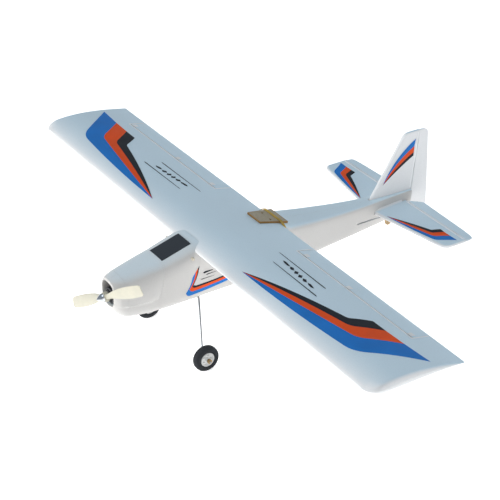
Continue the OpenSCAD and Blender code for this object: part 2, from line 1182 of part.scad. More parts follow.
// blade stations: radius, chord, pitch angle, thickness
blade = [[4, 7, 38, 4.4], [11, 8, 36, 3.8], [22, 11, 31, 3], [38, 14.6, 24, 2.4],
  [56, 16.4, 18, 2], [74, 16.8, 14, 1.7], [91, 16.2, 11.5, 1.4], [103, 15.2, 10, 1.2],
  [109, 13.6, 9, 1], [prop_r, 11, 9, 0.8]];

function blade_ring(r, c, p, t) = [for (i = [0:15]) let (a = 360 * i / 16,
  u = c / 2 * cos(a), v = t / 2 * sin(a) + (1 - pow(cos(a), 2)) * t * 0.35)
  [u * cos(p) - v * sin(p), r, u * sin(p) + v * cos(p)]];

module blade_shape() {
  loft([for (b = blade) blade_ring(b[0], b[1], b[2], b[3])]);
}

module propeller() {
  color([0.91, 0.89, 0.82])
    stand()
      thrust()
        rotate([0, -prop_rest, 0])
          translate([0, -116, 0])
            difference() {
              union() {
                rod_y(-4.2, 2.6, 6.6);
                for (a = [0, 180])
                  rotate([0, a, 0])
                    rotate([0, 0, -90])
                      rotate([0, 90, 0])
                        blade_shape();
              }
              rod_y(-9, 9, 1.5);
            }
}

module spinner_nut() {
  color([0.80, 0.81, 0.83])
    stand()
      thrust()
        translate([0, -120.2, 0])
          rotate([90, 0, 0])
            difference() {
              rotate_extrude()
                polygon([[0, 0], [5.9, 0], [5.9, 1.4], [5.5, 3], [4.5, 5.2], [3.1, 7.2],
                  [1.7, 8.8], [0.7, 9.3], [0, 9.4]]);
              translate([0, 0, -1])
                cylinder(h = 3.2, r = 1.5);
            }
}

// ---- radio gear ----

module battery_tray() {
  color([0.72, 0.60, 0.44])
    stand()
      difference() {
        block([-19, -80, -62], [19, -6, -59.6]);
        sides()
          block([16.2, -56, -63], [17.8, -38, -59]);
      }
}

module battery() {
  color([0.16, 0.22, 0.40])
    stand()
      block([-15, -78, -59.6], [15, -20, -46]);
}

module battery_strap() {
  color([0.10, 0.10, 0.11])
    stand()
      difference() {
        block([-17.6, -55, -63], [17.6, -39, -45]);
        block([-16.4, -60, -62], [16.4, -30, -46]);
      }
}

module speed_controller() {
  color([0.12, 0.12, 0.14])
    stand()
      block([-9, -76, -69.2], [9, -46, -63.2]);
}

module receiver() {
  color([0.15, 0.15, 0.17])
    stand()
      block([-10, 4, -66], [10, 36, -54]);
}

fuselage_left();
fuselage_right();
canopy_hatch();
windscreen();
hatch_magnets();
body_magnets();
wing();
wing_spar();
wing_plate();
aileron_left();
aileron_right();
aileron_fittings_left();
aileron_fittings_right();
servo_aileron_left();
servo_aileron_right();
arm_aileron_left();
arm_aileron_right();
pushrod_aileron_left();
pushrod_aileron_right();
servo_elevator();
arm_elevator();
pushrod_elevator();
servo_rudder();
arm_rudder();
pushrod_rudder();
servo_tray();
stabilizer();
fixed_hinges();
elevator_left();
elevator_right();
elevator_joiner();
elevator_fittings();
fin();
rudder();
rudder_fittings();
tail_skid();
dowels();
wing_band();
gear_wire();
gear_plate();
screws();
tyre_left();
tyre_right();
hub_left();
hub_right();
wheel_collars();
firewall();
motor_mount();
motor_stator();
stator_windings();
motor_bell();
bell_magnets();
prop_shaft();
propeller();
spinner_nut();
battery_tray();
battery();
battery_strap();
speed_controller();
receiver();
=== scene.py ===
import json
import math

import bmesh
import bpy
import numpy as np
from mathutils import Matrix, Vector


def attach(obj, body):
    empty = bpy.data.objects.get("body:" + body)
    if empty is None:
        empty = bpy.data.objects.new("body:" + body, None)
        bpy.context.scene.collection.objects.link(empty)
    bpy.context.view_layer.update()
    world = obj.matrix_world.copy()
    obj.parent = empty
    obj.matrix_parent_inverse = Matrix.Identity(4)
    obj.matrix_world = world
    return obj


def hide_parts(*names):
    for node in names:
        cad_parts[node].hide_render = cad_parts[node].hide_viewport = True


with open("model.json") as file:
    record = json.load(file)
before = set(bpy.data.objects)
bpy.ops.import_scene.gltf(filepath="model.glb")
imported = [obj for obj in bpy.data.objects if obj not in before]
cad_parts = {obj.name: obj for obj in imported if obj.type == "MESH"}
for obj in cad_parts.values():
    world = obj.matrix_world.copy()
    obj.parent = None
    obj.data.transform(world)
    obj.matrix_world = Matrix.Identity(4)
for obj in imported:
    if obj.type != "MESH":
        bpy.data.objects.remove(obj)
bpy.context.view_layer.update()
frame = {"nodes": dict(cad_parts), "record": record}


REC = frame["record"]
JOINTS = {j["name"]: j for j in REC["behaviour"]["joints"]}

# ---- the airplane's own frame (mm, wing leading edge at the origin) inside the row frame ----
UP = Vector(JOINTS["hatch_lift"]["axis"])
PITCH = math.atan2(UP.y, UP.z)
TRACK, AXLE_Y, AXLE_Z = 74.5, -13.8, -131.9
TURN = Matrix.Rotation(-PITCH, 4, "X")
HUB = Vector(JOINTS["wheel_left_spin"]["pos_m"])
PLACE = Matrix.Translation(HUB - TURN @ Vector((TRACK, AXLE_Y, AXLE_Z)) * 0.001) @ TURN @ Matrix.Scale(0.001, 4)

CHORD, WING_T, CAMBER, DROP = 136.0, 15.0, 0.025, 5.0
HINGE_Y = 109.5
STAB_Z, TAIL_T, ELEV_Y = -41.7, 5.0, 358.0
RUD_Y, LEAN = 367.6, math.radians(6.47)
THRUST_Z = -43.5
PROP_Y, PROP_R, PROP_REST = -116, 112.0, 32.0
HINGE_XS, TAIL_HINGE_XS, FIN_HINGE_ZS = (114, 205, 328), (40, 112), (42, 4, -31)
AILERON_ENDS = (99.4, 335.6)
PLATE_BOLT_X, PLATE_BOLT_Y = 10, 127
BAND_Y, DOWEL_Z, DOWEL_R = 137, -20, 2.0

FUS = np.array([
    [-112, 17.5, -19.5, -58.5], [-109, 19.6, -18.4, -63.5], [-104, 22, -17, -69.4],
    [-97, 24.4, -15.5, -73.6], [-85, 26.6, -13.4, -75.4], [-65, 29.2, -10, -75.8],
    [-42, 31.6, -6, -75], [-20, 33, -0.2, -74.2], [2, 33.6, 5.6, -73.4],
    [20, 33.6, 7, -72.8], [60, 33, 5, -72], [110, 31.5, 0, -70.6],
    [143, 30, -5.5, -69.6], [152, 29, -8.4, -69], [170, 27, -11.6, -68],
    [200, 23.6, -15.8, -66.5], [240, 18.8, -20.5, -65], [280, 14.2, -23.8, -63.6],
    [315, 10.6, -25.2, -61.5], [345, 8.2, -26, -57], [372, 6.6, -26.5, -51]], float)  # y, half width, top, bottom
NOTCH = 12.0


# ---- materials ----

def new_mat(name, color, rough=0.5, metal=0.0, spec=0.5, ior=1.5):
    m = bpy.data.materials.new(name)
    m.use_nodes = True
    b = m.node_tree.nodes["Principled BSDF"]
    b.inputs["Base Color"].default_value = (*color, 1)
    b.inputs["Roughness"].default_value = rough
    b.inputs["Metallic"].default_value = metal
    b.inputs["Specular IOR Level"].default_value = spec
    b.inputs["IOR"].default_value = ior
    return m, m.node_tree, b


def node(t, kind, **vals):
    n = t.nodes.new(kind)
    for k, v in vals.items():
        if hasattr(n, k):
            setattr(n, k, v)
        else:
            n.inputs[k.replace("_", " ")].default_value = v
    return n


def coords(t, scale=(1, 1, 1)):
    c = t.nodes.new("ShaderNodeTexCoord")
    m = t.nodes.new("ShaderNodeMapping")
    m.inputs["Scale"].default_value = scale
    t.links.new(c.outputs["Object"], m.inputs["Vector"])
    return m.outputs["Vector"]


def ramp(t, src, stops):
    r = t.nodes.new("ShaderNodeValToRGB")
    e = r.color_ramp.elements
    while len(e) < len(stops):
        e.new(0.5)
    for i, (p, c) in enumerate(stops):
        e[i].position = p
        e[i].color = (*c, 1)
    t.links.new(src, r.inputs["Fac"])
    return r.outputs["Color"]


def bump(t, b, height, strength, distance, chain=None):
    n = t.nodes.new("ShaderNodeBump")
    n.inputs["Strength"].default_value = strength
    n.inputs["Distance"].default_value = distance
    t.links.new(height, n.inputs["Height"])
    if chain is not None:
        t.links.new(chain, n.inputs["Normal"])
    t.links.new(n.outputs["Normal"], b.inputs["Normal"])
    return n.outputs["Normal"]


def mixed(c, f):
    return tuple(min(1.0, v * f) for v in c)


def grey(v):
    return (v, v, v)


def texture(t, kind, vec, **vals):
    """A texture node already fed with its coordinates."""
    n = node(t, "ShaderNodeTex" + kind, **vals)
    t.links.new(vec, n.inputs["Vector"])
    return n


def multiply(t, base, tone, amount):
    m = node(t, "ShaderNodeMix", data_type="RGBA", blend_type="MULTIPLY")
    m.inputs["Factor"].default_value = amount
    t.links.new(base, m.inputs["A"])
    t.links.new(tone, m.inputs["B"])
    return m.outputs["Result"]


def vary(t, b, source, socket, low, high):
    """Drive a shader input by a texture through two (position, colour) stops."""
    t.links.new(ramp(t, source.outputs["Fac"], [low, high]), b.inputs[socket])


def painted_light_by_facing(t, sky_lit_color, side_lit_color):
    """Painted light by facing: skin turned to the sky gets a painted cool sky light, skin turned to the nose or side
    gets a painted front and side light.
    """
    g = t.nodes.new("ShaderNodeNewGeometry")
    d = node(t, "ShaderNodeVectorMath", operation="DOT_PRODUCT")
    d.inputs[1].default_value = (0.0, 0.857, 0.714)
    t.links.new(g.outputs["Normal"], d.inputs[0])
    mid = tuple((a + b) / 2 + 0.02 for a, b in zip(sky_lit_color, side_lit_color))
    return ramp(t, d.outputs["Value"], [(0.0, side_lit_color), (0.42, side_lit_color), (0.70, mid), (0.87, sky_lit_color)])


def foam(name, color, side, rough=0.55, bead=1.0):
    """Moulded bead foam: fused cells, faint tone changes and a thin satin skin, over painted light by facing: color
    is the painted sky-lit colour of up-turned skin, side is the painted front- and side-lit colour.
    """
    m, t, b = new_mat(name, color, rough, 0, 0.4)
    vec = coords(t)
    big = texture(t, "Noise", vec, Scale=9.0, Detail=3.0, Roughness=0.6)
    cells = texture(t, "Voronoi", vec, Scale=330.0, feature="DISTANCE_TO_EDGE")
    fine = texture(t, "Noise", vec, Scale=1400.0, Detail=2.0)
    tone = ramp(t, big.outputs["Fac"], [(0.25, grey(0.95)), (0.75, grey(1))])
    edge = ramp(t, cells.outputs["Distance"], [(0.0, grey(0.92)), (0.08, grey(1))])
    # base colour is painted light: painted sky light on up-turned skin, painted front and side light elsewhere
    skin = multiply(t, multiply(t, painted_light_by_facing(t, color, side), tone, 1.0), edge, 0.5)
    t.links.new(skin, b.inputs["Base Color"])
    vary(t, b, big, "Roughness", (0.2, grey(rough - 0.06)), (0.8, grey(rough + 0.08)))
    n = bump(t, b, cells.outputs["Distance"], 0.10 * bead, 0.00025)
    bump(t, b, fine.outputs["Fac"], 0.05 * bead, 0.00008, n)
    b.inputs["Coat Weight"].default_value = 0.25
    b.inputs["Coat Roughness"].default_value = 0.35
    b.inputs["Subsurface Weight"].default_value = 0.12
    b.inputs["Subsurface Radius"].default_value = (0.004, 0.004, 0.004)
    b.inputs["Subsurface Scale"].default_value = 1.0
    return m


def film(name, color):
    """Thin vinyl decal that lets the foam beads show through a little."""
    m, t, b = new_mat(name, color, 0.5, 0, 0.15)
    vec = coords(t)
    cells = texture(t, "Voronoi", vec, Scale=330.0, feature="DISTANCE_TO_EDGE")
    big = texture(t, "Noise", vec, Scale=25.0, Detail=3.0)
    vary(t, b, big, "Base Color", (0.3, mixed(color, 0.9)), (0.7, mixed(color, 1.1)))
    vary(t, b, big, "Roughness", (0.3, grey(0.44)), (0.7, grey(0.56)))
    bump(t, b, cells.outputs["Distance"], 0.05, 0.0002)
    return m


def plastic(name, color, rough=0.35, spread=0.08, grain=900.0):
    """Moulded plastic with faint patches and a fine grain."""
    m, t, b = new_mat(name, color, rough)
    vec = coords(t)
    patch = texture(t, "Noise", vec, Scale=60.0, Detail=4.0)
    fine = texture(t, "Noise", vec, Scale=grain, Detail=3.0)
    vary(t, b, patch, "Base Color", (0.3, mixed(color, 0.93)), (0.7, mixed(color, 1.05)))
    vary(t, b, patch, "Roughness", (0.3, grey(rough - spread / 2)), (0.7, grey(rough + spread)))
    bump(t, b, fine.outputs["Fac"], 0.08, 0.0001)
    return m


def metal(name, color, rough=0.25, brushed=True):
    """Metal with worn tone changes, brushed along its length or plain."""
    m, t, b = new_mat(name, color, rough, 1.0)
    lines = texture(t, "Noise", coords(t, (30, 30, 400) if brushed else (1, 1, 1)), Scale=14.0, Detail=5.0)
    tone = texture(t, "Noise", coords(t), Scale=120.0, Detail=3.0)
    vary(t, b, tone, "Base Color", (0.3, mixed(color, 0.85)), (0.7, mixed(color, 1.08)))
    vary(t, b, lines, "Roughness", (0.3, grey(max(0.04, rough - 0.08))), (0.7, grey(rough + 0.12)))
    bump(t, b, lines.outputs["Fac"], 0.06, 0.0001)
    return m


def wood(name, color, grain_axis=(8, 90, 90)):
    """Wood with long fibres and growth bands."""
    m, t, b = new_mat(name, color, 0.7, 0, 0.3)
    vec = coords(t, grain_axis)
    fibre = texture(t, "Noise", vec, Scale=14.0, Detail=6.0, Roughness=0.65)
    bands = texture(t, "Wave", vec, Scale=6.0, Distortion=3.0, Detail=2.0)
    base = ramp(t, fibre.outputs["Fac"], [(0.3, mixed(color, 0.78)), (0.7, mixed(color, 1.12))])
    dark = ramp(t, bands.outputs["Fac"], [(0.2, grey(0.86)), (0.8, grey(1))])
    t.links.new(multiply(t, base, dark, 0.6), b.inputs["Base Color"])
    bump(t, b, fibre.outputs["Fac"], 0.25, 0.0002)
    return m


def rubber(name, color, rough=0.8, scale=500.0):
    """Dull rubber with a pebbled surface."""
    m, t, b = new_mat(name, color, rough, 0, 0.3)
    vec = coords(t)
    pebble = texture(t, "Noise", vec, Scale=scale, Detail=4.0)
    patch = texture(t, "Noise", vec, Scale=40.0, Detail=3.0)
    vary(t, b, patch, "Base Color", (0.3, mixed(color, 0.8)), (0.7, mixed(color, 1.3)))
    vary(t, b, patch, "Roughness", (0.3, grey(rough - 0.1)), (0.7, grey(min(1, rough + 0.08))))
    bump(t, b, pebble.outputs["Fac"], 0.35, 0.0003)
    return m


def weave(name, color):
    """Woven strap."""
    m, t, b = new_mat(name, color, 0.85)
    w = texture(t, "Checker", coords(t, (900, 900, 900)), Scale=1.0)
    vary(t, b, w, "Base Color", (0, mixed(color, 0.7)), (1, mixed(color, 1.4)))
    bump(t, b, w.outputs["Fac"], 0.3, 0.0003)
    b.inputs["Sheen Weight"].default_value = 0.3
    return m


MAT = {
    # foam colour pairs are painted light: first a painted cool sky light on up-turned skin, then a painted front and
    # side light, a darker warm painted shade on the fuselage sides
    "foam_wing": foam("foam_wing", (0.66, 0.80, 0.88), (0.86, 0.86, 0.86)),
    "foam_body": foam("foam_body", (0.68, 0.81, 0.88), (0.63, 0.61, 0.585), bead=0.8),
    # painted highlight: white strips where the hinge grooves catch the light
    "crease": plastic("groove_highlight_white", (0.95, 0.96, 0.96), 0.6),
    "blue": film("decal_blue", (0.016, 0.18, 0.56)),
    "red": film("decal_red", (0.80, 0.085, 0.012)),
    "black": film("decal_black", (0.014, 0.018, 0.024)),
    "screen_black": plastic("screen_black", (0.020, 0.026, 0.034), 0.42),
    "white_plastic": plastic("white_plastic", (0.84, 0.85, 0.85)),
    "hub_plastic": plastic("hub_plastic", (0.72, 0.72, 0.71), 0.4),
    "prop_ivory": plastic("prop_ivory", (0.56, 0.53, 0.42), 0.4),
    "steel_wire": metal("steel_wire", (0.33, 0.34, 0.36), 0.32),
    "magnet": metal("magnet", (0.6, 0.6, 0.62), 0.18, False),
    "carbon": plastic("carbon", (0.015, 0.015, 0.018), 0.3, 0.1, 300.0),
    "plywood_grey": wood("plywood_grey", (0.42, 0.36, 0.26), (60, 8, 60)),
    "plywood_edge": wood("plywood_edge", (0.36, 0.19, 0.06), (8, 60, 60)),
    "plywood": wood("plywood", (0.50, 0.36, 0.20)),
    "dowel_wood": wood("dowel_wood", (0.66, 0.60, 0.48)),
    "servo_blue": plastic("servo_blue", (0.02, 0.05, 0.17), 0.3),
    "rubber_band": rubber("rubber_band", (0.50, 0.33, 0.07), 0.55, 200.0),
    "dark_screw": metal("dark_screw", (0.08, 0.08, 0.09), 0.35, False),
    "tyre": rubber("tyre", (0.020, 0.022, 0.026), 0.85),
    "brass": metal("brass", (0.36, 0.25, 0.12), 0.35, False),
    "aluminium": metal("aluminium", (0.65, 0.66, 0.68), 0.3),
    "black_metal": metal("black_metal", (0.03, 0.03, 0.035), 0.3, False),
    "copper": metal("copper", (0.62, 0.28, 0.12), 0.3),
    "polished_alloy": metal("polished_alloy", (0.72, 0.74, 0.77), 0.10, False),
    "battery_wrap": plastic("battery_wrap", (0.02, 0.05, 0.18), 0.25),
    "strap": weave("strap", (0.02, 0.02, 0.022)),
    "electronics": plastic("electronics", (0.03, 0.03, 0.034), 0.45),
}


# ---- mesh helpers: everything is drawn in airplane millimetres ----

def make(name, verts, faces, mat, smooth=32):
    me = bpy.data.meshes.new(name)
    me.from_pydata([tuple(map(float, v)) for v in verts], [], [tuple(f) for f in faces])
    me.update()
    bm = bmesh.new()
    bm.from_mesh(me)
    bmesh.ops.remove_doubles(bm, verts=bm.verts, dist=1e-5)
    bmesh.ops.recalc_face_normals(bm, faces=bm.faces)
    bm.to_mesh(me)
    bm.free()
    o = bpy.data.objects.new(name, me)
    bpy.context.scene.collection.objects.link(o)
    me.materials.append(MAT[mat])
    o["smooth"] = smooth
    return o


def apply_mods(o):
    dg = bpy.context.evaluated_depsgraph_get()
    me = bpy.data.meshes.new_from_object(o.evaluated_get(dg))
    o.modifiers.clear()
    old = o.data
    o.data = me
    bpy.data.meshes.remove(old)


def cut(o, tools, op="DIFFERENCE"):
    for c in tools:
        m = o.modifiers.new("cut", "BOOLEAN")
        m.operation = op
        m.solver = "MANIFOLD"
        m.object = c
    apply_mods(o)
    for c in tools:
        me = c.data
        bpy.data.objects.remove(c)
        bpy.data.meshes.remove(me)
    return o


def bevel(o, width, segs=2, angle=35):
    m = o.modifiers.new("soft", "BEVEL")
    m.width = width
    m.segments = segs
    m.limit_method = "ANGLE"
    m.angle_limit = math.radians(angle)
    m.harden_normals = False
    apply_mods(o)
    return o


def done(o, body, slot, *nodes, world=None):
    """Put a finished piece into the row frame, smooth it and tie it to its body."""
    o.data.transform(world or PLACE)
    for p in o.data.polygons:
        p.use_smooth = True
    o.data.set_sharp_from_angle(angle=math.radians(o["smooth"]))
    if "smooth" in o:
        del o["smooth"]
    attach(o, body)
    if nodes:
        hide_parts(*nodes)
    return o


def block(a, b):
    """A cutting box between two corners."""
    (x0, y0, z0), (x1, y1, z1) = a, b
    foot = [(x0, y0), (x1, y0), (x1, y1), (x0, y1)]
    v = [(x, y, z0) for x, y in foot] + [(x, y, z1) for x, y in foot]
    f = [(0, 3, 2, 1), (4, 5, 6, 7), (0, 1, 5, 4), (1, 2, 6, 5), (2, 3, 7, 6), (3, 0, 4, 7)]
    return make("tool", v, f, "white_plastic", 30)


def prism(pts, lo, hi, axis="x", name="tool", mat="white_plastic", smooth=30):
    """An outline pushed along an axis. Outline pairs are the two other axes in order."""
    def at(p, h):
        return {"x": (h, p[0], p[1]), "y": (p[0], h, p[1]), "z": (p[0], p[1], h)}[axis]
    n = len(pts)
    v = [at(p, lo) for p in pts] + [at(p, hi) for p in pts]
    f = [tuple(range(n)), tuple(range(2 * n - 1, n - 1, -1))]
    f += [(i, (i + 1) % n, n + (i + 1) % n, n + i) for i in range(n)]
    return make(name, v, f, mat, smooth)


def lathe(profile, name, mat, seg=72, axis="y", smooth=30):
    """Profile of (distance along, radius) turned about an axis through the origin."""
    v, f = [], []
    for h, r in profile:
        for i in range(seg):
            a = 2 * math.pi * i / seg
            c, s = r * math.cos(a), r * math.sin(a)
            v.append({"y": (c, h, s), "x": (h, c, s), "z": (c, s, h)}[axis])
    m = len(profile)
    closed = profile[0] == profile[-1]
    for k in range(m - 1):
        for i in range(seg):
            j = (i + 1) % seg
            f.append((k * seg + i, k * seg + j, (k + 1) * seg + j, (k + 1) * seg + i))
    if not closed:
        f.append(tuple(range(seg)))
        f.append(tuple(range((m - 1) * seg, m * seg)))
    return make(name, v, f, mat, smooth)


def loft(rings, name, mat, smooth=32):
    n = len(rings[0])
    v = [p for r in rings for p in r]
    f = [tuple(range(n)), tuple(range((len(rings) - 1) * n, len(rings) * n))]
    for k in range(len(rings) - 1):
        for i in range(n):
            j = (i + 1) % n
            f.append((k * n + i, k * n + j, (k + 1) * n + j, (k + 1) * n + i))
    return make(name, v, f, mat, smooth)


def drill(half, r, axis, where, mat="foam_wing", seg=20):
    """A cutting rod moved into place. Its material lines the hole, so it matches the piece."""
    o = lathe([(-half, r), (half, r)], "tool", mat, seg, axis)
    o.data.transform(where)
    return o


def shift(x, y, z):
    return Matrix.Translation((x, y, z))


def flip(side):
    return Matrix.Scale(side, 4, (1, 0, 0))


def tag_of(side):
    return "left" if side > 0 else "right"


def tube(path, r, name, mat, seg=16):
    """A wire along a path of points, with mitred rings."""
    pts = [Vector(p) for p in path]
    rings = []
    up = Vector((0, 1, 0))
    for i, p in enumerate(pts):
        d = (pts[min(i + 1, len(pts) - 1)] - pts[max(i - 1, 0)]).normalized()
        a = up - d * up.dot(d)
        a.normalize()
        b = d.cross(a)
        turn = [2 * math.pi * k / seg for k in range(seg)]
        rings.append([p + a * r * math.cos(q) + b * r * math.sin(q) for q in turn])
    return loft(rings, name, mat, 50)


def bend(points, radius, steps=6):
    """Round the corners of a wire path."""
    pts = [Vector(p) for p in points]
    out = [pts[0]]
    for a, b, c in zip(pts, pts[1:], pts[2:]):
        u, w = (a - b).normalized(), (c - b).normalized()
        p, q = b + u * radius, b + w * radius
        for k in range(steps + 1):
            s = k / steps
            out.append(p * (1 - s) ** 2 + b * 2 * s * (1 - s) + q * s ** 2)
    return out + [pts[-1]]


# ---- foam surfaces ----

def mean_z(y):
    u = y / CHORD
    return 4 * CAMBER * u * (1 - u) * CHORD - DROP * u


def half_t(y):
    u = min(1.0, max(0.0, y / CHORD))
    return 5 * WING_T * (0.2969 * u ** 0.5 - 0.126 * u - 0.3516 * u * u + 0.2843 * u ** 3 - 0.1015 * u ** 4) + 0.8 * u


def wing_top(y):
    return mean_z(y) + half_t(y)


def spow(v, p):
    return math.copysign(abs(v) ** p, v)


def fus_at(y):
    """Half width, top and bottom of the fuselage, smoothed between its stations."""
    s = FUS[:, 0]
    i = int(np.clip(np.searchsorted(s, y) - 1, 0, len(s) - 2))
    out = []
    for c in (1, 2, 3):
        p = FUS[:, c]
        t = (y - s[i]) / (s[i + 1] - s[i])
        m0 = (p[i + 1] - p[max(i - 1, 0)]) / (s[i + 1] - s[max(i - 1, 0)])
        m1 = (p[min(i + 2, len(s) - 1)] - p[i]) / (s[min(i + 2, len(s) - 1)] - s[i])
        h = s[i + 1] - s[i]
        out.append((2 * t**3 - 3 * t**2 + 1) * p[i] + (t**3 - 2 * t**2 + t) * h * m0
                   + (-2 * t**3 + 3 * t**2) * p[i + 1] + (t**3 - t**2) * h * m1)
    return out


def corner(y):
    """Section squareness: softer round the nose, boxier along the boom."""
    return float(np.interp(y, [-112, -98, -60, 20, 140, 250], [2.7, 3.1, 3.9, 4.6, 6.2, 6.8]))


def cheek(y, z):
    """Cowl cheek: the upper nose side swells out over the lower body."""
    along = min(1.0, max(0.0, (-46 - y) / 22)) * min(1.0, max(0.0, (y + 113) / 8))
    low = -52.5 + 9 * max(0.0, (y + 68) / 20) ** 2
    h = min(1.0, max(0.0, (z - low) / 1.0)) * min(1.0, max(0.0, (-14 - z) / 26))
    along, h = along * along * (3 - 2 * along), h * h * (3 - 2 * h)
    return 2.6 * along * h


def fus_ring(y, n=144, inset=0.0):
    w, top, bot = fus_at(y)
    w, top, bot = w - inset, top - inset, bot + inset
    pw = corner(y)
    ring = []
    for i in range(n):
        a = 2 * math.pi * i / n
        x = w * spow(math.cos(a), 2 / pw)
        z = (top + bot) / 2 + (top - bot) / 2 * spow(math.sin(a), 2 / pw)
        if not inset and abs(x) > 0.5 * w:
            x += math.copysign(cheek(y, z), x)
        ring.append((x, y, z))
    return ring


def fus_stations(lo, hi):
    ys = [-112, -111.2, -110.2, -109, -107.5, -106, -104, -101.5, -99] + list(np.arange(-96, 372, 3.0)) + [372]
    return [y for y in ys if lo <= y <= hi]


def fus_skin(name):
    rings = [fus_ring(y) for y in fus_stations(-112, 372)]
    front = [(x * 0.9, -112.8, -39.25 + (z + 39.25) * 0.92) for x, y, z in rings[0]]
    return loft([front] + rings, name, "foam_body", 40)


def fus_core():
    """The hollow inside: a thicker wall ahead of the boom."""
    return loft([fus_ring(y, 64, 6 if y < 150 else 4.5) for y in fus_stations(-90, 300)[1:]], "core", "foam_body")


def hatch_line(g):
    """Side outline of the lift-off hatch, drawn in by a gap g."""
    return [(-98 + g, -51 + g), (-56.4 - g, -51 + g), (-52.7 - g, -43.7),
            (-43.5 - g, -6), (-43.5 - g, 40), (-98 + g, 40)]


def motor_hole():
    """Air opening: a rounded box mouth that closes in towards the motor."""
    turn = [2 * math.pi * i / 64 for i in range(64)]
    rings = []
    for y, w, top, bot in ((-115, 15.4, -22, -57), (-112.2, 14.6, -22.8, -56),
                           (-110, 13.9, -23.6, -55.2), (-84.5, 13.6, -26, -57)):
        mid, tall = (top + bot) / 2, (top - bot) / 2
        rings.append([(w * spow(math.cos(a), 0.62), y, mid + tall * spow(math.sin(a), 0.62)) for a in turn])
    return loft(rings, "tool", "foam_body")


def wing_seat():
    ys = [CHORD * (1 - math.cos(math.pi / 2 * i / 24)) for i in range(25)]
    pts = [(y, mean_z(y) - half_t(y) + 0.05) for y in [NOTCH] + [v for v in ys if v > NOTCH]]
    pts += [(144, -6), (144, 40), (NOTCH, 40)]
    return prism(pts, -60, 60)


def rud_at(z):
    """Where the leaning rudder hinge line lies at height z."""
    return RUD_Y + (z - STAB_Z) * math.tan(LEAN)


def lean_at(y, z):
    return shift(0, y, z) @ Matrix.Rotation(-LEAN, 4, "X")


def build_fuselage(side):
    name = "fuselage_" + tag_of(side)
    o = fus_skin("foam_" + name)
    x0, x1 = sorted((side * 0.05, side * 200))
    cut(o, [block((x0, -200, -200), (x1, 500, 200))], "INTERSECT")
    tail = block((-20, 0, -70), (20, 60, 70))
    tail.data.transform(lean_at(rud_at(STAB_Z) - 0.6, STAB_Z))
    tools = [fus_core(), wing_seat(), motor_hole(), prism(hatch_line(0), -60, 60), tail,
             block((-30, 299.5, STAB_Z - 2.6), (30, ELEV_Y - 0.4, STAB_Z + 2.6)),
             block((-2.55, 297, -31), (2.55, 380, 20))]
    if side > 0:
        tools.append(prism([(268, -46.6), (268, -48.6), (308, -51.6), (308, -49.4)], 10.4, 22))
    else:
        tools.append(prism([(272, -26.5), (272, -29.6), (316, -30.8), (316, -27.7)], -22, -9))
    cut(o, tools)
    done(o, "airframe", "foam_body", name)


def build_hatch():
    o = fus_skin("foam_hatch")
    cut(o, [prism(hatch_line(0.16), -60, 60)], "INTERSECT")
    cut(o, [fus_core(), motor_hole(), block((-14.6, -116, -60), (14.6, -84.5, THRUST_Z))])
    done(o, "hatch", "foam_body", "canopy_hatch")


def skin_z(x, y):
    w, top, bot = fus_at(y)
    pw = corner(y)
    k = (1 - min(0.999, abs(x) / w) ** pw) ** (1 / pw)
    return (top + bot) / 2 + (top - bot) / 2 * k


def build_windscreen():
    nx, ny = 14, 20
    v, f = [], []
    for h in (0.55, -0.8):
        for j in range(ny + 1):
            for i in range(nx + 1):
                x = -15.6 + 31.2 * i / nx
                y = -42.2 + 43.2 * j / ny
                v.append((x, y, skin_z(x, y) + h))
    n = (nx + 1) * (ny + 1)
    for j in range(ny):
        for i in range(nx):
            a = j * (nx + 1) + i
            f.append((a, a + 1, a + nx + 2, a + nx + 1))
            f.append((n + a, n + a + nx + 1, n + a + nx + 2, n + a + 1))
    edge = list(range(nx + 1)) + [j * (nx + 1) + nx for j in range(1, ny + 1)]
    edge += [ny * (nx + 1) + i for i in range(nx - 1, -1, -1)] + [j * (nx + 1) for j in range(ny - 1, 0, -1)]
    for a, b in zip(edge, edge[1:] + edge[:1]):
        f.append((a, n + a, n + b, b))
    o = make("canopy_screen", v, f, "screen_black", 30)
    bevel(o, 0.25)
    done(o, "airframe", "screen_black", "windscreen")


def wing_ring(x, n=40):
    """One rib of the wing, with the tip corner and tip edge rounded."""
    ax = abs(x)
    y0 = 0.0
    if ax > 382:
        y0 = 18 - math.sqrt(max(0.0, 18**2 - (ax - 382) ** 2))
    k = 1.0
    if ax > 395:
        k = math.sqrt(max(0.06, 1 - ((ax - 395) / 5.0) ** 2))
    top, low = [], []
    for i in range(n + 1):
        s = 1 - math.cos(math.pi / 2 * i / n)
        y = y0 + (CHORD - y0) * s
        blend = 1.0 if y0 == 0 else math.sqrt(max(0.0, 1 - (1 - min(1.0, (y - y0) / 14)) ** 2))
        t = half_t(y) * k * blend
        top.append((x, y, mean_z(y) + t))
        low.append((x, y, mean_z(y) - t))
    return top + low[:0:-1]


def wing_xs():
    e = [382 + 18 * math.sin(math.pi / 2 * i / 14) for i in range(15)]
    return [-v for v in e[::-1]] + list(np.linspace(-370, 370, 41)) + e


def aileron_line():
    """Side outline of an aileron: a wedge front that clears the wing as it swings."""
    z, run, back = mean_z(HINGE_Y), HINGE_Y + 20 * math.tan(math.radians(26)), HINGE_Y + 60
    return [(HINGE_Y, z), (run, z + 20), (back, z + 20), (back, z - 20), (run, z - 20)]


def hinge_bore(axis, where):
    """Clearance round a hinge, the same in every moving surface."""
    return drill(5.6, 1.95, axis, where)


def hinge_gaps(side):
    return [hinge_bore("x", shift(side * x, HINGE_Y, mean_z(HINGE_Y))) for x in HINGE_XS]


def tail_gaps(xs):
    return [hinge_bore("x", shift(x, ELEV_Y, STAB_Z)) for x in xs]


def plate_bolts(mat):
    return [drill(9, 1.6, "z", shift(x, PLATE_BOLT_Y, 0), mat, 24) for x in (-PLATE_BOLT_X, PLATE_BOLT_X)]


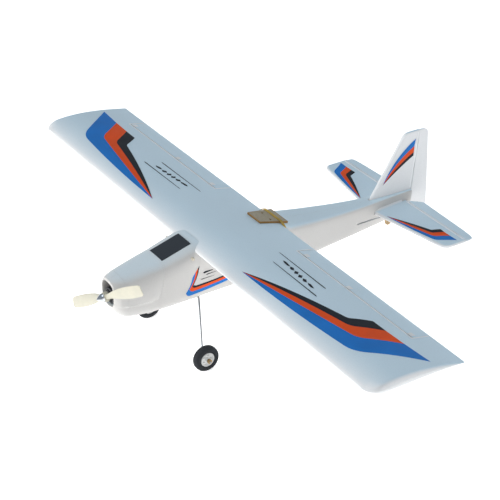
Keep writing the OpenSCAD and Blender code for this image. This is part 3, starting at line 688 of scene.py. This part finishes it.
def build_wing():
    o = loft([wing_ring(x) for x in wing_xs()], "foam_wing_panel", "foam_wing", 34)
    tools = []
    for s in (-1, 1):
        # aileron bay, servo pocket, servo arm slot
        for x0, x1, y0, y1, z0, z1 in ((*AILERON_ENDS, HINGE_Y - 0.35, 150, -40, 40),
                                       (189, 211.6, 46.8, 68.2, -20, 3.3), (211.4, 218, 53, 71, -20, 3)):
            a, b = sorted((s * x0, s * x1))
            tools.append(block((a, y0, z0), (b, y1, z1)))
        tools += hinge_gaps(s)
    cut(o, tools + plate_bolts("foam_wing"))
    done(o, "airframe", "foam_wing", "wing")


def build_aileron(side):
    name = "aileron_" + tag_of(side)
    xs = [side * v for v in np.linspace(100, 335, 20)]
    o = loft([wing_ring(x) for x in sorted(xs)], "foam_" + name, "foam_wing", 34)
    cut(o, [prism(aileron_line(), -400, 400)], "INTERSECT")
    z = mean_z(HINGE_Y)
    horn = block((side * 214 - 0.9, HINGE_Y, z - 10), (side * 214 + 0.9, HINGE_Y + 13.2, z + 1.1))
    cut(o, hinge_gaps(side) + [horn])
    bevel(o, 0.3, 2, 50)
    done(o, name, "foam_wing", name)


def flat_ring(x, y0, y1, zc, t, nose=4.0, tail=12.0, te=0.9, k=1.0, n=26):
    """Section of a flat tail surface: round nose, flat middle, thinned rear edge."""
    top, low = [], []
    for i in range(n + 1):
        s = 0.5 - 0.5 * math.cos(math.pi * i / n)
        y = y0 + (y1 - y0) * s
        h = t / 2
        if nose and y - y0 < nose:
            h *= math.sqrt(max(0.0, 1 - (1 - (y - y0) / nose) ** 2))
        if tail and y1 - y < tail:
            h = te + (h - te) * (y1 - y) / tail
        h = max(0.02, h * k)
        top.append((x, y, zc + h))
        low.append((x, y, zc - h))
    return top + low[::-1]


def stab_lead(ax):
    """Leading edge of the stabilizer at a distance ax from the centre line."""
    return float(np.interp(ax, [0, 12, 48, 104, 126, 134, 137.6, 138.9, 139],
                           [296, 299.5, 306, 315.6, 319.2, 321.5, 325.5, 333, 345]))


def edge_k(ax, end, r):
    return 1.0 if ax < end - r else math.sqrt(max(0.09, 1 - ((ax - end + r) / r) ** 2))


def tail_xs(lo, hi):
    """Stations from lo to hi, close together near the tip."""
    return list(np.linspace(lo, hi - 14, 16)) + [hi - 14 + 14 * math.sin(math.pi / 2 * i / 12) for i in range(1, 13)]


def build_stabilizer():
    half = tail_xs(3, 139)
    xs = [-v for v in half[::-1]] + half
    rings = [flat_ring(x, max(300.2, stab_lead(abs(x))), ELEV_Y - 0.4, STAB_Z, TAIL_T, 4, 0,
                       k=edge_k(abs(x), 139, 2.5)) for x in xs]
    o = loft(rings, "foam_stabilizer", "foam_wing", 40)
    cut(o, tail_gaps([-v for v in TAIL_HINGE_XS[::-1]] + list(TAIL_HINGE_XS)))
    done(o, "airframe", "foam_wing", "stabilizer")


def elev_tail(ax):
    return float(np.interp(ax, [12, 23.5, 114, 131, 137, 138.9], [377.2, 377.2, 373.8, 372.4, 370.4, 364]))


def build_elevator(side):
    name = "elevator_" + tag_of(side)
    rings = [flat_ring(side * ax, ELEV_Y + 0.15, elev_tail(ax), STAB_Z, TAIL_T, 0, 14, 0.9,
                       k=edge_k(ax, 139, 2.5)) for ax in tail_xs(12.0, 139)]
    o = loft(rings[::side], "foam_" + name, "foam_wing", 40)
    wedge = [(side * x, y) for x, y in ((0, 340), (12, 340), (12, ELEV_Y + 2), (23.5, 377), (24, 390), (0, 390))]
    tools = [prism(wedge, STAB_Z - 8, STAB_Z + 8, "z")]
    z = STAB_Z
    for s in (-1, 1):
        front, back = ELEV_Y - 1, ELEV_Y + 1.35
        tools.append(prism([(front, z), (back, z + s * 2.6), (back, z + s * 4), (front, z + s * 4)], -150, 150))
    tools += tail_gaps([side * x for x in TAIL_HINGE_XS])
    if side > 0:
        tools.append(block((10, ELEV_Y - 1, z - 10), (13, ELEV_Y + 14, z + 10)))
    cut(o, tools)
    done(o, "elevator", "foam_wing", name)


# leading edge of the fin, then round its top corner: y and height
FIN = [(297, -31), (300.5, -21), (323.5, 15), (346.9, 53), (349.4, 57),
       (352.4, 60.2), (356, 62.2), (361, 63.1), (367, 63.2)]


def fin_face(zs, lead, rear, name, nose, tail, te):
    """An upright flat surface between two edges given as functions of height."""
    rings = []
    for z in zs:
        y0, y1 = lead(z), rear(z)
        k = 1.0 if z < 60.7 else math.sqrt(max(0.09, 1 - ((z - 60.7) / 2.5) ** 2))
        r = flat_ring(0, y0, y1, 0, TAIL_T, nose, tail, te, k)
        rings.append([(p[2], p[1], z) for p in r])
    return loft(rings, name, "foam_wing", 40)


def build_fin():
    ys, zs = [p[0] for p in FIN], [p[1] for p in FIN]
    levels = list(np.linspace(-30.8, 46, 22)) + list(np.linspace(48, 60, 9)) + [61, 61.8, 62.3, 62.6]
    o = fin_face(levels, lambda z: float(np.interp(z, zs, ys)), lambda z: rud_at(z) - 0.5, "foam_fin", 4, 0, 0)
    cut(o, rudder_gaps())
    done(o, "airframe", "foam_wing", "fin")


def rudder_gaps():
    return [hinge_bore("z", lean_at(rud_at(z), z)) for z in FIN_HINGE_ZS]


def build_rudder():
    levels = [-59.3, -58.6, -57, -54, -50] + list(np.linspace(-46, 50, 26)) + [53, 56, 58.5, 60.2, 61.2, 61.9, 62.3]

    def lead(z):
        return max(rud_at(z), rud_at(-48.8) + (-48.8 - z) * 2.75)

    def rear(z):
        if z > 56:
            return 395.2 - 12 * (1 - math.sqrt(max(0.0, 1 - ((z - 56) / 6.5) ** 2)))
        return float(np.interp(z, [-59.5, -57, -38, 9.8, 57], [398.0, 399.0, 399.2, 397.3, 395.2]))

    o = fin_face(levels, lead, rear, "foam_rudder", 0, 26, 0.9)
    tools = rudder_gaps()
    for s in (-1, 1):
        w = prism([(0.0, -1.0), (s * 3.2, -1.0), (s * 3.2, 1.55), (s * 2.6, 1.3)], -80, 130, "z")
        w.data.transform(lean_at(rud_at(STAB_Z), STAB_Z))
        tools.append(w)
    cut(o, tools)
    done(o, "rudder", "foam_wing", "rudder")


# ---- decals: thin film pieces that follow the foam ----

def slice_film(bm, axis, step):
    """Cut a flat film into strips so that it can follow a curved surface."""
    line = [v.co[axis] for v in bm.verts]
    low, high = min(line), max(line)
    at = math.floor(low / step) * step
    normal = Vector((0, 0, 0))
    normal[axis] = 1
    while at < high:
        geom = bm.verts[:] + bm.edges[:] + bm.faces[:]
        bmesh.ops.bisect_plane(bm, geom=geom, plane_co=normal * at, plane_no=normal)
        at += step


def film_piece(name, outline, height, mat, body, slot, plane="top", step=2.5, lift=0.14):
    """A flat outline sliced into strips, then laid on the surface given by height(u, v)."""
    bm = bmesh.new()
    bm.faces.new([bm.verts.new((p[0], p[1], 0)) for p in outline])
    slice_film(bm, 1, step)
    if plane == "side":
        slice_film(bm, 0, 3)
    bmesh.ops.triangulate(bm, faces=bm.faces[:])
    for v in bm.verts:
        u, w = v.co.x, v.co.y
        h = height(u, w)
        if plane == "top":
            v.co = Vector((u, w, h + lift))
        else:
            v.co = Vector((h + math.copysign(lift, h), u, w))
    me = bpy.data.meshes.new(name)
    bm.to_mesh(me)
    bm.free()
    o = bpy.data.objects.new(name, me)
    bpy.context.scene.collection.objects.link(o)
    me.materials.append(MAT[mat])
    m = o.modifiers.new("thick", "SOLIDIFY")
    m.thickness = 0.12
    m.offset = 1.0
    apply_mods(o)
    o["smooth"] = 40
    bm = bmesh.new()
    bm.from_mesh(o.data)
    bmesh.ops.recalc_face_normals(bm, faces=bm.faces)
    bm.to_mesh(o.data)
    bm.free()
    return done(o, body, slot)


def curve(a, b, bow, n=14):
    """Points from a to b, bowed sideways by bow."""
    dx, dy = b[0] - a[0], b[1] - a[1]
    l = math.hypot(dx, dy)
    return [(a[0] + dx * t - dy / l * bow * 4 * t * (1 - t), a[1] + dy * t + dx / l * bow * 4 * t * (1 - t))
            for t in [i / n for i in range(n + 1)]]


def knee(a, b, r, n=6):
    """Join two runs of points that share an end, with the corner rounded off."""
    k = a[-1]
    a = [p for p in a if math.dist(p, k) > r]
    b = [p for p in b if math.dist(p, k) > r]
    p, q = a[-1], b[0]
    arc = [tuple((1 - t) ** 2 * p[c] + 2 * t * (1 - t) * k[c] + t * t * q[c] for c in (0, 1))
           for t in [i / n for i in range(1, n)]]
    return a + arc + b


def chain(*parts):
    out = []
    for p in parts:
        out += p if not out else p[1:] if p[0] == out[-1] else p
    return out


def stripes(label, lines, height, slot, mirror=1, last=-1, how=()):
    """Black, red and blue bands between neighbouring lines; last=-1 where the lines share a tip."""
    for color, a, b in zip(("black", "red", "blue"), lines, lines[1:]):
        outline = [(mirror * p[0], p[1]) for p in a + b[::-1][:last]]
        film_piece(label.format(color), outline, height, color, "airframe", slot, *how)


def on_wing(x, y):
    return wing_top(y)


def on_tail(x, y):
    return STAB_Z + TAIL_T / 2


# outer speed lines, then a row of small slanted bars: start, end, y, width
WING_MARKS = ((94, 196, 84, 0.5), (112, 207, 62.5, 0.5), (116, 130, 76, 2.2), (133, 141, 75, 3.2),
              (145, 151, 74, 4.2), (155, 161, 73, 4.2), (165, 173, 72, 3.2), (177, 189, 71, 2.2))


def wing_decals(s):
    tag = tag_of(s)
    tip = (111, 17.6)
    k1, k2, k3, k4 = (268, 65.5), (284, 57), (309, 49.5), (330, 29)
    e1, e2, e3, e4 = (286, 89), (311, 89.5), (344, 91), (388, 94.5)
    l0 = knee(curve(tip, k1, 2.5, 40), curve(k1, e1, 0.6), 4)
    l1 = knee(curve(tip, k2, 1.4, 40), curve(k2, e2, 0.6), 7)
    l2 = knee(curve(tip, k3, -1.0, 40), curve(k3, e3, 0.8), 10)
    l3 = knee(curve(tip, k4, -3.0, 40), curve(k4, e4, 1.2), 14)
    stripes("wing_stripe_{}_" + tag, (l0, l1, l2, l3), on_wing, "foam_wing", s)
    for i, (x0, x1, y, w) in enumerate(WING_MARKS):
        bar = [(x0, y), (x0 + 4, y - w), (x1 - 1, y - w * 0.7 - 1.5), (x1 + 3, y - 1.2), (x1, y - 0.2),
               (x0 + 5, y + w * 0.6)]
        bar = [(s * p[0], p[1]) for p in bar]
        film_piece(f"wing_dash_{i}_{tag}", bar, on_wing, "black", "airframe", "foam_wing")


def stab_decals(s):
    tip = (30, 306.8)
    k1, k2, k3, k4 = (93, 335), (100, 331), (108, 327), (117, 322.4)
    e1, e2, e3, e4 = (98, 347), (107, 346.5), (119, 346.5), (133, 347)
    l0 = knee(curve(tip, k1, 1.0, 30), curve(k1, e1, 0.3), 1.5)
    l1 = knee(curve(tip, k2, 0.4, 30), curve(k2, e2, 0.3), 2.5)
    l2 = knee(curve(tip, k3, -0.4, 30), curve(k3, e3, 0.4), 3.5)
    l3 = knee(curve(tip, k4, -1.4, 30), curve(k4, e4, 0.5), 5)
    stripes("stab_stripe_{}_" + tag_of(s), (l0, l1, l2, l3), on_tail, "foam_wing", s)


def on_fin(s):
    return lambda y, z: s * TAIL_T / 2


def fin_decals(s):
    ends = ((370, 25.5, 1.2), (370.5, 31, 2.8), (371, 40, 4.4), (373, 51, 6.2))
    lines = [curve((319, -7), (y, z), bow, 20) for y, z, bow in ends]
    stripes("fin_stripe_{}_" + tag_of(s), lines, on_fin(s), "foam_wing", how=("side", 3.0))


def side_x(s):
    """How far out the fuselage side lies, as a function of y and height."""
    def f(y, z):
        w, top, bot = fus_at(y)
        v = min(0.999, abs(z - (top + bot) / 2) / ((top - bot) / 2))
        pw = corner(y)
        return s * (w * (1 - v ** pw) ** (1 / pw) + cheek(y, z))
    return f


def side_decals(s):
    tag, f, on_side = tag_of(s), side_x(s), ("side", 3.0, 0.18)
    lines = []
    for d in (0.0, 3.0, 8.0, 14.6):
        top = (2.6 - 0.70 * d, -19.3 - 0.95 * d)
        elbow = (-6.2 - 0.76 * d, -45.0 - 0.62 * d)
        foot = (-2.4 - 0.62 * d, -46.8 - 0.93 * d)
        rear = (46, -44.6 - 0.70 * d)
        arm, leg = curve(top, elbow, 1.5), curve(foot, rear, -0.5)
        lines.append(chain(arm, curve(arm[-1], leg[0], -0.10 * (2 + d), 8), leg))
    stripes("side_chevron_{}_" + tag, lines, f, "foam_body", last=None, how=on_side)
    for i, (y0, y1, z, w) in enumerate(((8, 22, -31, 1.5), (12, 27, -35, 0.6), (4, 24, -40, 0.45))):
        pts = [(y0, z), (y0 + 2, z - w), (y1, z - w * 0.2), (y1 + 1.5, z + w * 0.4), (y0 + 3, z + w)]
        film_piece(f"side_dash_{i}_{tag}", pts, f, "black", "airframe", "foam_body", *on_side)


# ---- fittings ----

def plate_z():
    """Underside of the wing plate, which slopes with the rear of the wing."""
    slope = (wing_top(HINGE_Y) - wing_top(CHORD)) / (CHORD - HINGE_Y)
    low = wing_top(HINGE_Y) + HINGE_Y * slope + 0.27
    return lambda y: low - y * slope


def build_plate():
    z = plate_z()
    pts = [(-15.2, 107), (-20, 148.5), (20, 148.5), (15.2, 107)]
    n = len(pts)
    v = [(x, y, z(y)) for x, y in pts] + [(x, y, z(y) + 2.5) for x, y in pts]
    f = [tuple(range(n)), tuple(range(2 * n - 1, n - 1, -1))]
    f += [(i, (i + 1) % n, n + (i + 1) % n, n + i) for i in range(n)]
    o = make("plate_top", v, f, "plywood_grey", 30)
    cut(o, plate_bolts("plywood_grey"))
    bevel(o, 0.3, 2, 40)
    o.data.materials.append(MAT["plywood_edge"])
    for p in o.data.polygons:
        if abs(p.normal.z) < 0.8:
            p.material_index = 1
    done(o, "airframe", "plywood_grey", "wing_plate")
    # dark rim left by laser cutting, drawn as thin strips just inside the outline
    rim_in = [(-14.5, 107.9), (-19.1, 147.7), (19.1, 147.7), (14.5, 107.9)]
    for i in range(n):
        j = (i + 1) % n
        quad = [pts[i], pts[j], rim_in[j], rim_in[i]]
        film_piece(f"plate_rim_{i}", quad, lambda x, y: z(y) + 2.45, "plywood_edge",
                   "airframe", "plywood_grey")


def build_band():
    """Rubber band from dowel to dowel, hugging the plate and the fuselage corners."""
    mid = BAND_Y + 0.7
    top = plate_z()(mid - 1.5) + 2.7
    port = [(19.2, mid, top + 0.6), (28.6, mid, -5.4), (31.9, mid, -10), (32.6, mid, DOWEL_Z)]
    path = bend([(-x, y, h) for x, y, h in port[::-1]] + port, 1.6, 6)
    prof = [(-1.5, -0.5), (-1.25, -0.6), (1.25, -0.6), (1.5, -0.5),
            (1.5, 0.5), (1.25, 0.6), (-1.25, 0.6), (-1.5, 0.5)]
    rings = []
    for i, p in enumerate(path):
        d = (path[min(i + 1, len(path) - 1)] - path[max(i - 1, 0)]).normalized()
        out = Vector((-d.z, 0, d.x))
        rings.append([(p.x + out.x * b, p.y + a + 0.12 * math.sin(p.x * 0.12), p.z + out.z * b) for a, b in prof])
    done(loft(rings, "rubber_strap", "rubber_band", 35), "airframe", "rubber_band", "wing_band")
    eye = [(33.0, 2.05), (33.2, 3.3), (34.0, 3.3), (34.2, 2.05), (33.0, 2.05)]
    for s in (-1, 1):
        r = lathe(eye, "band_eye_" + tag_of(s)[0], "rubber_band", 40, "x")
        r.data.transform(shift(0, BAND_Y, DOWEL_Z) @ flip(s))
        done(r, "airframe", "rubber_band")


def dowel(half, y, z, name, *nodes):
    """A rod across the fuselage with softened ends."""
    r = DOWEL_R
    end = [(half, r * 0.6), (half - 0.5, r * 0.93), (half - 1.1, r)]
    o = lathe([(-h, q) for h, q in end] + end[::-1], name, "dowel_wood", 32, "x")
    o.data.transform(shift(0, y, z))
    done(o, "airframe", "dowel_wood", *nodes)


def build_gear():
    leg = [(TRACK + 12, AXLE_Y, AXLE_Z), (66.4, AXLE_Y, AXLE_Z), (27.5, 5, -70.6)]
    path = bend(leg + [(-x, y, z) for x, y, z in leg[::-1]], 2.6, 7)
    o = tube(path, 1.3, "gear_leg_wire", "steel_wire", 20)
    done(o, "airframe", "steel_wire", "gear_wire")
    collar = [(7.0, 1.35), (7.0, 2.7), (7.3, 3.0), (10.7, 3.0), (11.0, 2.7), (11.0, 1.35), (7.0, 1.35)]
    for s in (-1, 1):
        c = lathe(collar, "collar_" + tag_of(s)[0], "brass", 40, "x")
        hole = lathe([(1.8, 0.8), (5, 0.8)], "tool", "brass", 18, "y")
        hole.data.transform(shift(9, 0, 0))
        cut(c, [hole])
        c.data.transform(shift(s * TRACK, AXLE_Y, AXLE_Z) @ flip(s))
        done(c, "airframe", "brass", *(["wheel_collars"] if s > 0 else []))


def build_wheel(side):
    tag = tag_of(side)
    body = "wheel_" + tag
    place = shift(side * TRACK, AXLE_Y, AXLE_Z)
    prof = [(-4.4, 9.8), (-5.2, 10.6), (-5.8, 12.0)]
    for i in range(25):
        a = math.pi * (i / 24) - math.pi / 2
        prof.append((6.0 * spow(math.sin(a), 0.8), 12.8 + 5.2 * spow(math.cos(a), 0.8)))
    prof += [(5.8, 12.0), (5.2, 10.6), (4.4, 9.8), (-4.4, 9.8)]
    t = lathe(prof, "foam_tyre_" + tag, "tyre", 96, "x", 50)
    t.data.transform(place)
    done(t, body, "tyre", "tyre_" + tag)
    half = [(6.3, 1.4), (6.3, 2.8), (6.0, 3.1), (3.4, 3.3), (2.9, 4.0), (2.7, 7.6), (3.2, 8.4),
            (5.1, 8.8), (5.3, 9.3), (4.9, 9.75), (4.4, 9.78)]
    hub = [(-h, r) for h, r in half] + half[::-1] + [(-6.3, 1.4)]
    h = lathe(hub, "hub_disc_" + tag, "hub_plastic", 72, "x", 28)
    spots = [2 * math.pi * k / 5 for k in range(5)]
    cut(h, [drill(8, 1.15, "x", shift(0, 5.7 * math.cos(a), 5.7 * math.sin(a)), "hub_plastic") for a in spots])
    h.data.transform(place)
    done(h, body, "hub_plastic", "hub_" + tag)


def build_skid():
    foot = [(334 + 5 * math.sin(a), -69.8 - 5 * math.cos(a)) for a in np.linspace(-1.45, 1.45, 20)]
    o = prism([(326.5, -56)] + foot + [(341.5, -56)], -1.25, 1.25, "x", "skid_ply", "plywood", 30)
    bevel(o, 0.3, 2, 40)
    done(o, "airframe", "plywood", "tail_skid")


# share of the radius, chord, pitch in degrees, thickness
BLADE = np.array([
    [0.036, 7, 38, 4.2], [0.10, 8, 36, 3.8], [0.20, 11, 31, 3.0], [0.34, 14.6, 24, 2.4],
    [0.50, 16.4, 18, 2.0], [0.66, 16.8, 14, 1.7], [0.81, 16.2, 11.5, 1.4], [0.92, 15.2, 10, 1.2],
    [0.97, 13.9, 9, 1.0], [0.99, 12.4, 9, 0.8], [1.0, 9.0, 9, 0.5]])


def blade_rings():
    """Cambered sections along one blade, closer together at the tip."""
    rings = []
    for q in list(np.linspace(0.036, 0.88, 26)) + [0.91, 0.935, 0.955, 0.97, 0.982, 0.99, 0.996, 1.0]:
        chord, pitch, thick = (float(np.interp(q, BLADE[:, 0], BLADE[:, c])) for c in (1, 2, 3))
        p = math.radians(pitch)
        ring = []
        for a in [2 * math.pi * i / 32 for i in range(32)]:
            u = chord / 2 * math.cos(a)
            v = thick / 2 * math.sin(a) + (1 - math.cos(a) ** 2) * thick * 0.35
            ring.append((q * PROP_R, -(u * math.sin(p) + v * math.cos(p)), u * math.cos(p) - v * math.sin(p)))
        rings.append(ring)
    return rings


def build_propeller():
    at = shift(0, PROP_Y, THRUST_Z) @ Matrix.Rotation(-math.radians(PROP_REST), 4, "Y")
    prof = [(-4.2, 1.6), (-4.2, 6.0), (-3.8, 6.5), (2.2, 6.6), (2.6, 6.1), (2.6, 1.6), (-4.2, 1.6)]
    hub = lathe(prof, "prop_hub", "prop_ivory", 64)
    hub.data.transform(at)
    done(hub, "propeller_set", "prop_ivory", "propeller")
    for k in (0, 1):
        b = loft(blade_rings(), f"prop_blade_{k}", "prop_ivory", 60)
        b.data.transform(at @ Matrix.Rotation(math.pi * k, 4, "Y"))
        done(b, "propeller_set", "prop_ivory")


def build_spinner():
    prof = [(0, 1.5), (0, 5.8), (0.15, 5.95), (1.3, 5.95), (1.5, 5.75)]
    prof += [(1.5 + 7.8 * t, 5.6 * (1 - t ** 1.5) + 0.12) for t in np.linspace(0.04, 0.98, 22)] + [(9.36, 0.05)]
    o = lathe([(-120.2 - h, r) for h, r in prof], "spinner_cone", "polished_alloy")
    o.data.transform(shift(0, 0, THRUST_Z))
    done(o, "propeller_set", "polished_alloy", "spinner_nut")


def build_bell():
    """Turning motor can with a groove and six cooling holes in its face."""
    prof = [(-110.5, 1.7), (-110.5, 9.8), (-110.2, 10.6), (-109.4, 11.3), (-108.4, 11.5), (-103.4, 11.5),
            (-103.2, 11.35), (-102.9, 11.35), (-102.7, 11.5), (-91.4, 11.5), (-91.0, 11.2), (-91.0, 10.5),
            (-108.5, 10.5), (-108.5, 3.0), (-106.8, 3.0), (-106.8, 1.7), (-110.5, 1.7)]
    o = lathe(prof, "motor_can", "black_metal")
    spots = [2 * math.pi * k / 6 for k in range(6)]
    cut(o, [drill(2.25, 1.9, "y", shift(7 * math.cos(a), -109.75, 7 * math.sin(a)), "black_metal") for a in spots])
    o.data.transform(shift(0, 0, THRUST_Z))
    done(o, "propeller_set", "black_metal", "motor_bell")


def hinge_plates():
    """Small moulded hinge tabs seen on top of the aileron line."""
    for s in (-1, 1):
        for i, x in enumerate(HINGE_XS):
            pts = [(s * x - 4, 110.6), (s * x + 4, 110.6), (s * x + 4, 117), (s * x - 4, 117)]
            film_piece(f"hinge_tab_{i}_" + tag_of(s)[0], pts, on_wing, "white_plastic", "aileron_" + tag_of(s),
                       "white_plastic", lift=0.35)


def box_outline(x0, x1, y0, y1):
    return [(x0, y0), (x1, y0), (x1, y1), (x0, y1)]


def hinge_lines():
    """Painted highlight: pale lines just ahead of every moving surface and round the aileron ends, where the hinge
    grooves catch the light.
    """
    strips = (("aileron", box_outline(99, 336, 107.6, 108.9), on_wing),
              ("aileron_in", box_outline(97.7, 99.2, 107.6, 133), on_wing),
              ("aileron_out", box_outline(335.8, 337.3, 107.6, 133), on_wing),
              ("elevator", box_outline(12, 136, 354.9, 356.6), on_tail))
    for s in (-1, 1):
        tag = tag_of(s)[0]
        for name, pts, surface in strips:
            film_piece(f"hinge_line_{name}_{tag}", [(s * x, y) for x, y in pts], surface, "crease",
                       "airframe", "white_plastic")
        rear = [(rud_at(z) - 2.9, z) for z in (-24, 60)] + [(rud_at(z) - 1.1, z) for z in (60, -24)]
        film_piece(f"hinge_line_fin_{tag}", rear, on_fin(s), "crease", "airframe", "white_plastic", "side", 3.0)


def root_fillets():
    """Soft foam fillet between the boom side and the top of the stabilizer."""
    for side in (-1, 1):
        rings = []
        for y in np.linspace(300.5, 350, 18):
            w = fus_at(y)[0]
            z, r = STAB_Z + TAIL_T / 2, 3.4 * min(1, (y - 300) / 8)
            arc = [(w + r - r * math.sin(a), y, z + r - r * math.cos(a)) for a in np.linspace(0, math.pi / 2, 8)]
            ring = arc + [(w - 1.5, y, z + r), (w - 1.5, y, z - 0.6), (w + r, y, z - 0.6)]
            rings.append([(side * x, b, c) for x, b, c in ring])
        o = loft(rings, "root_fillet_" + tag_of(side)[0], "foam_wing", 60)
        done(o, "airframe", "foam_wing")


def dress_cad():
    """Better surfaces for the CAD nodes that stay visible."""
    slots = {s["node"]: s["material_slot"] for s in REC["subparts"]}
    for name, o in frame["nodes"].items():
        m = MAT.get(slots.get(name))
        if m is None:
            continue
        o.data.materials.clear()
        o.data.materials.append(m)


# ---- studio ----

def build_floor():
    me = bpy.data.meshes.new("studio_floor")
    s = 14.0
    me.from_pydata([(-s, -s, 0), (s, -s, 0), (s, s, 0), (-s, s, 0)], [], [(0, 1, 2, 3)])
    o = bpy.data.objects.new("studio_floor", me)
    bpy.context.scene.collection.objects.link(o)
    m, t, b = new_mat("studio_white", (0.92, 0.92, 0.92), 0.9, 0, 0.0)
    b.inputs["Emission Color"].default_value = (1, 1, 1, 1)
    b.inputs["Emission Strength"].default_value = 0.74
    me.materials.append(m)


def build_world():
    w = bpy.data.worlds.new("studio_sky")
    bpy.context.scene.world = w
    w.use_nodes = True
    t = w.node_tree
    bg = t.nodes["Background"]
    c = t.nodes.new("ShaderNodeTexCoord")
    sep = t.nodes.new("ShaderNodeSeparateXYZ")
    t.links.new(c.outputs["Generated"], sep.inputs["Vector"])
    col = ramp(t, sep.outputs["Z"], [(0.0, (1.0, 0.98, 0.96)), (0.4, (0.80, 0.86, 0.94)), (1.0, (0.50, 0.62, 0.74))])
    t.links.new(col, bg.inputs["Color"])
    bg.inputs["Strength"].default_value = 0.40


def area(name, where, target, size, power, color):
    d = bpy.data.lights.new(name, "AREA")
    d.shape = "DISK"
    d.size = size
    d.energy = power
    d.color = color
    o = bpy.data.objects.new(name, d)
    o.location = where
    o.rotation_euler = (Vector(target) - Vector(where)).to_track_quat("-Z", "Y").to_euler()
    bpy.context.scene.collection.objects.link(o)


def build_lights():
    mid = (0, 0, 0.1)
    area("key_front", (-0.9, -2.6, 1.0), mid, 1.2, 54, (1.0, 0.99, 0.97))
    area("fill_port", (2.6, -0.6, 0.5), mid, 1.8, 5, (1.0, 0.93, 0.84))
    area("top_cool", (0.3, 0.4, 2.6), mid, 2.0, 20, (0.90, 0.96, 1.0))


def set_view():
    bpy.context.scene.view_settings.view_transform = "Standard"


def build_camera():
    """A long lens at the photo's angle, set from the airplane's own frame."""
    az, el, roll = (math.radians(v) for v in (56.758, 30.549, 0.454))
    back = Vector((math.sin(az) * math.cos(el), -math.cos(az) * math.cos(el), math.sin(el)))
    right = Vector((0, 0, 1)).cross(back).normalized()
    up = back.cross(right)
    r2 = right * math.cos(roll) + up * math.sin(roll)
    u2 = up * math.cos(roll) - right * math.sin(roll)
    spot = Vector((50.233, 68.974, -8.059)) + back * 2040.22
    rot = Matrix((r2, u2, back)).transposed().to_4x4()
    d = bpy.data.cameras.new("photo_view")
    d.sensor_width = 36
    d.lens = 114.05
    d.clip_end = 60
    o = bpy.data.objects.new("photo_view", d)
    o.matrix_world = Matrix.Translation(PLACE @ spot) @ TURN @ rot
    bpy.context.scene.collection.objects.link(o)
    bpy.context.scene.camera = o


dress_cad()
build_fuselage(1)
build_fuselage(-1)
build_hatch()
build_windscreen()
build_wing()
build_aileron(1)
build_aileron(-1)
build_stabilizer()
build_elevator(1)
build_elevator(-1)
build_fin()
build_rudder()
for side in (1, -1):
    wing_decals(side)
    stab_decals(side)
    fin_decals(side)
    side_decals(side)
    build_wheel(side)
build_plate()
build_band()
dowel(38, BAND_Y, DOWEL_Z, "rear_dowel", "dowels")
dowel(34.6, -6, -6.6, "front_dowel")
build_gear()
build_skid()
build_propeller()
build_spinner()
build_bell()
hinge_plates()
hinge_lines()
root_fillets()
build_floor()
build_world()
build_lights()
build_camera()
set_view()
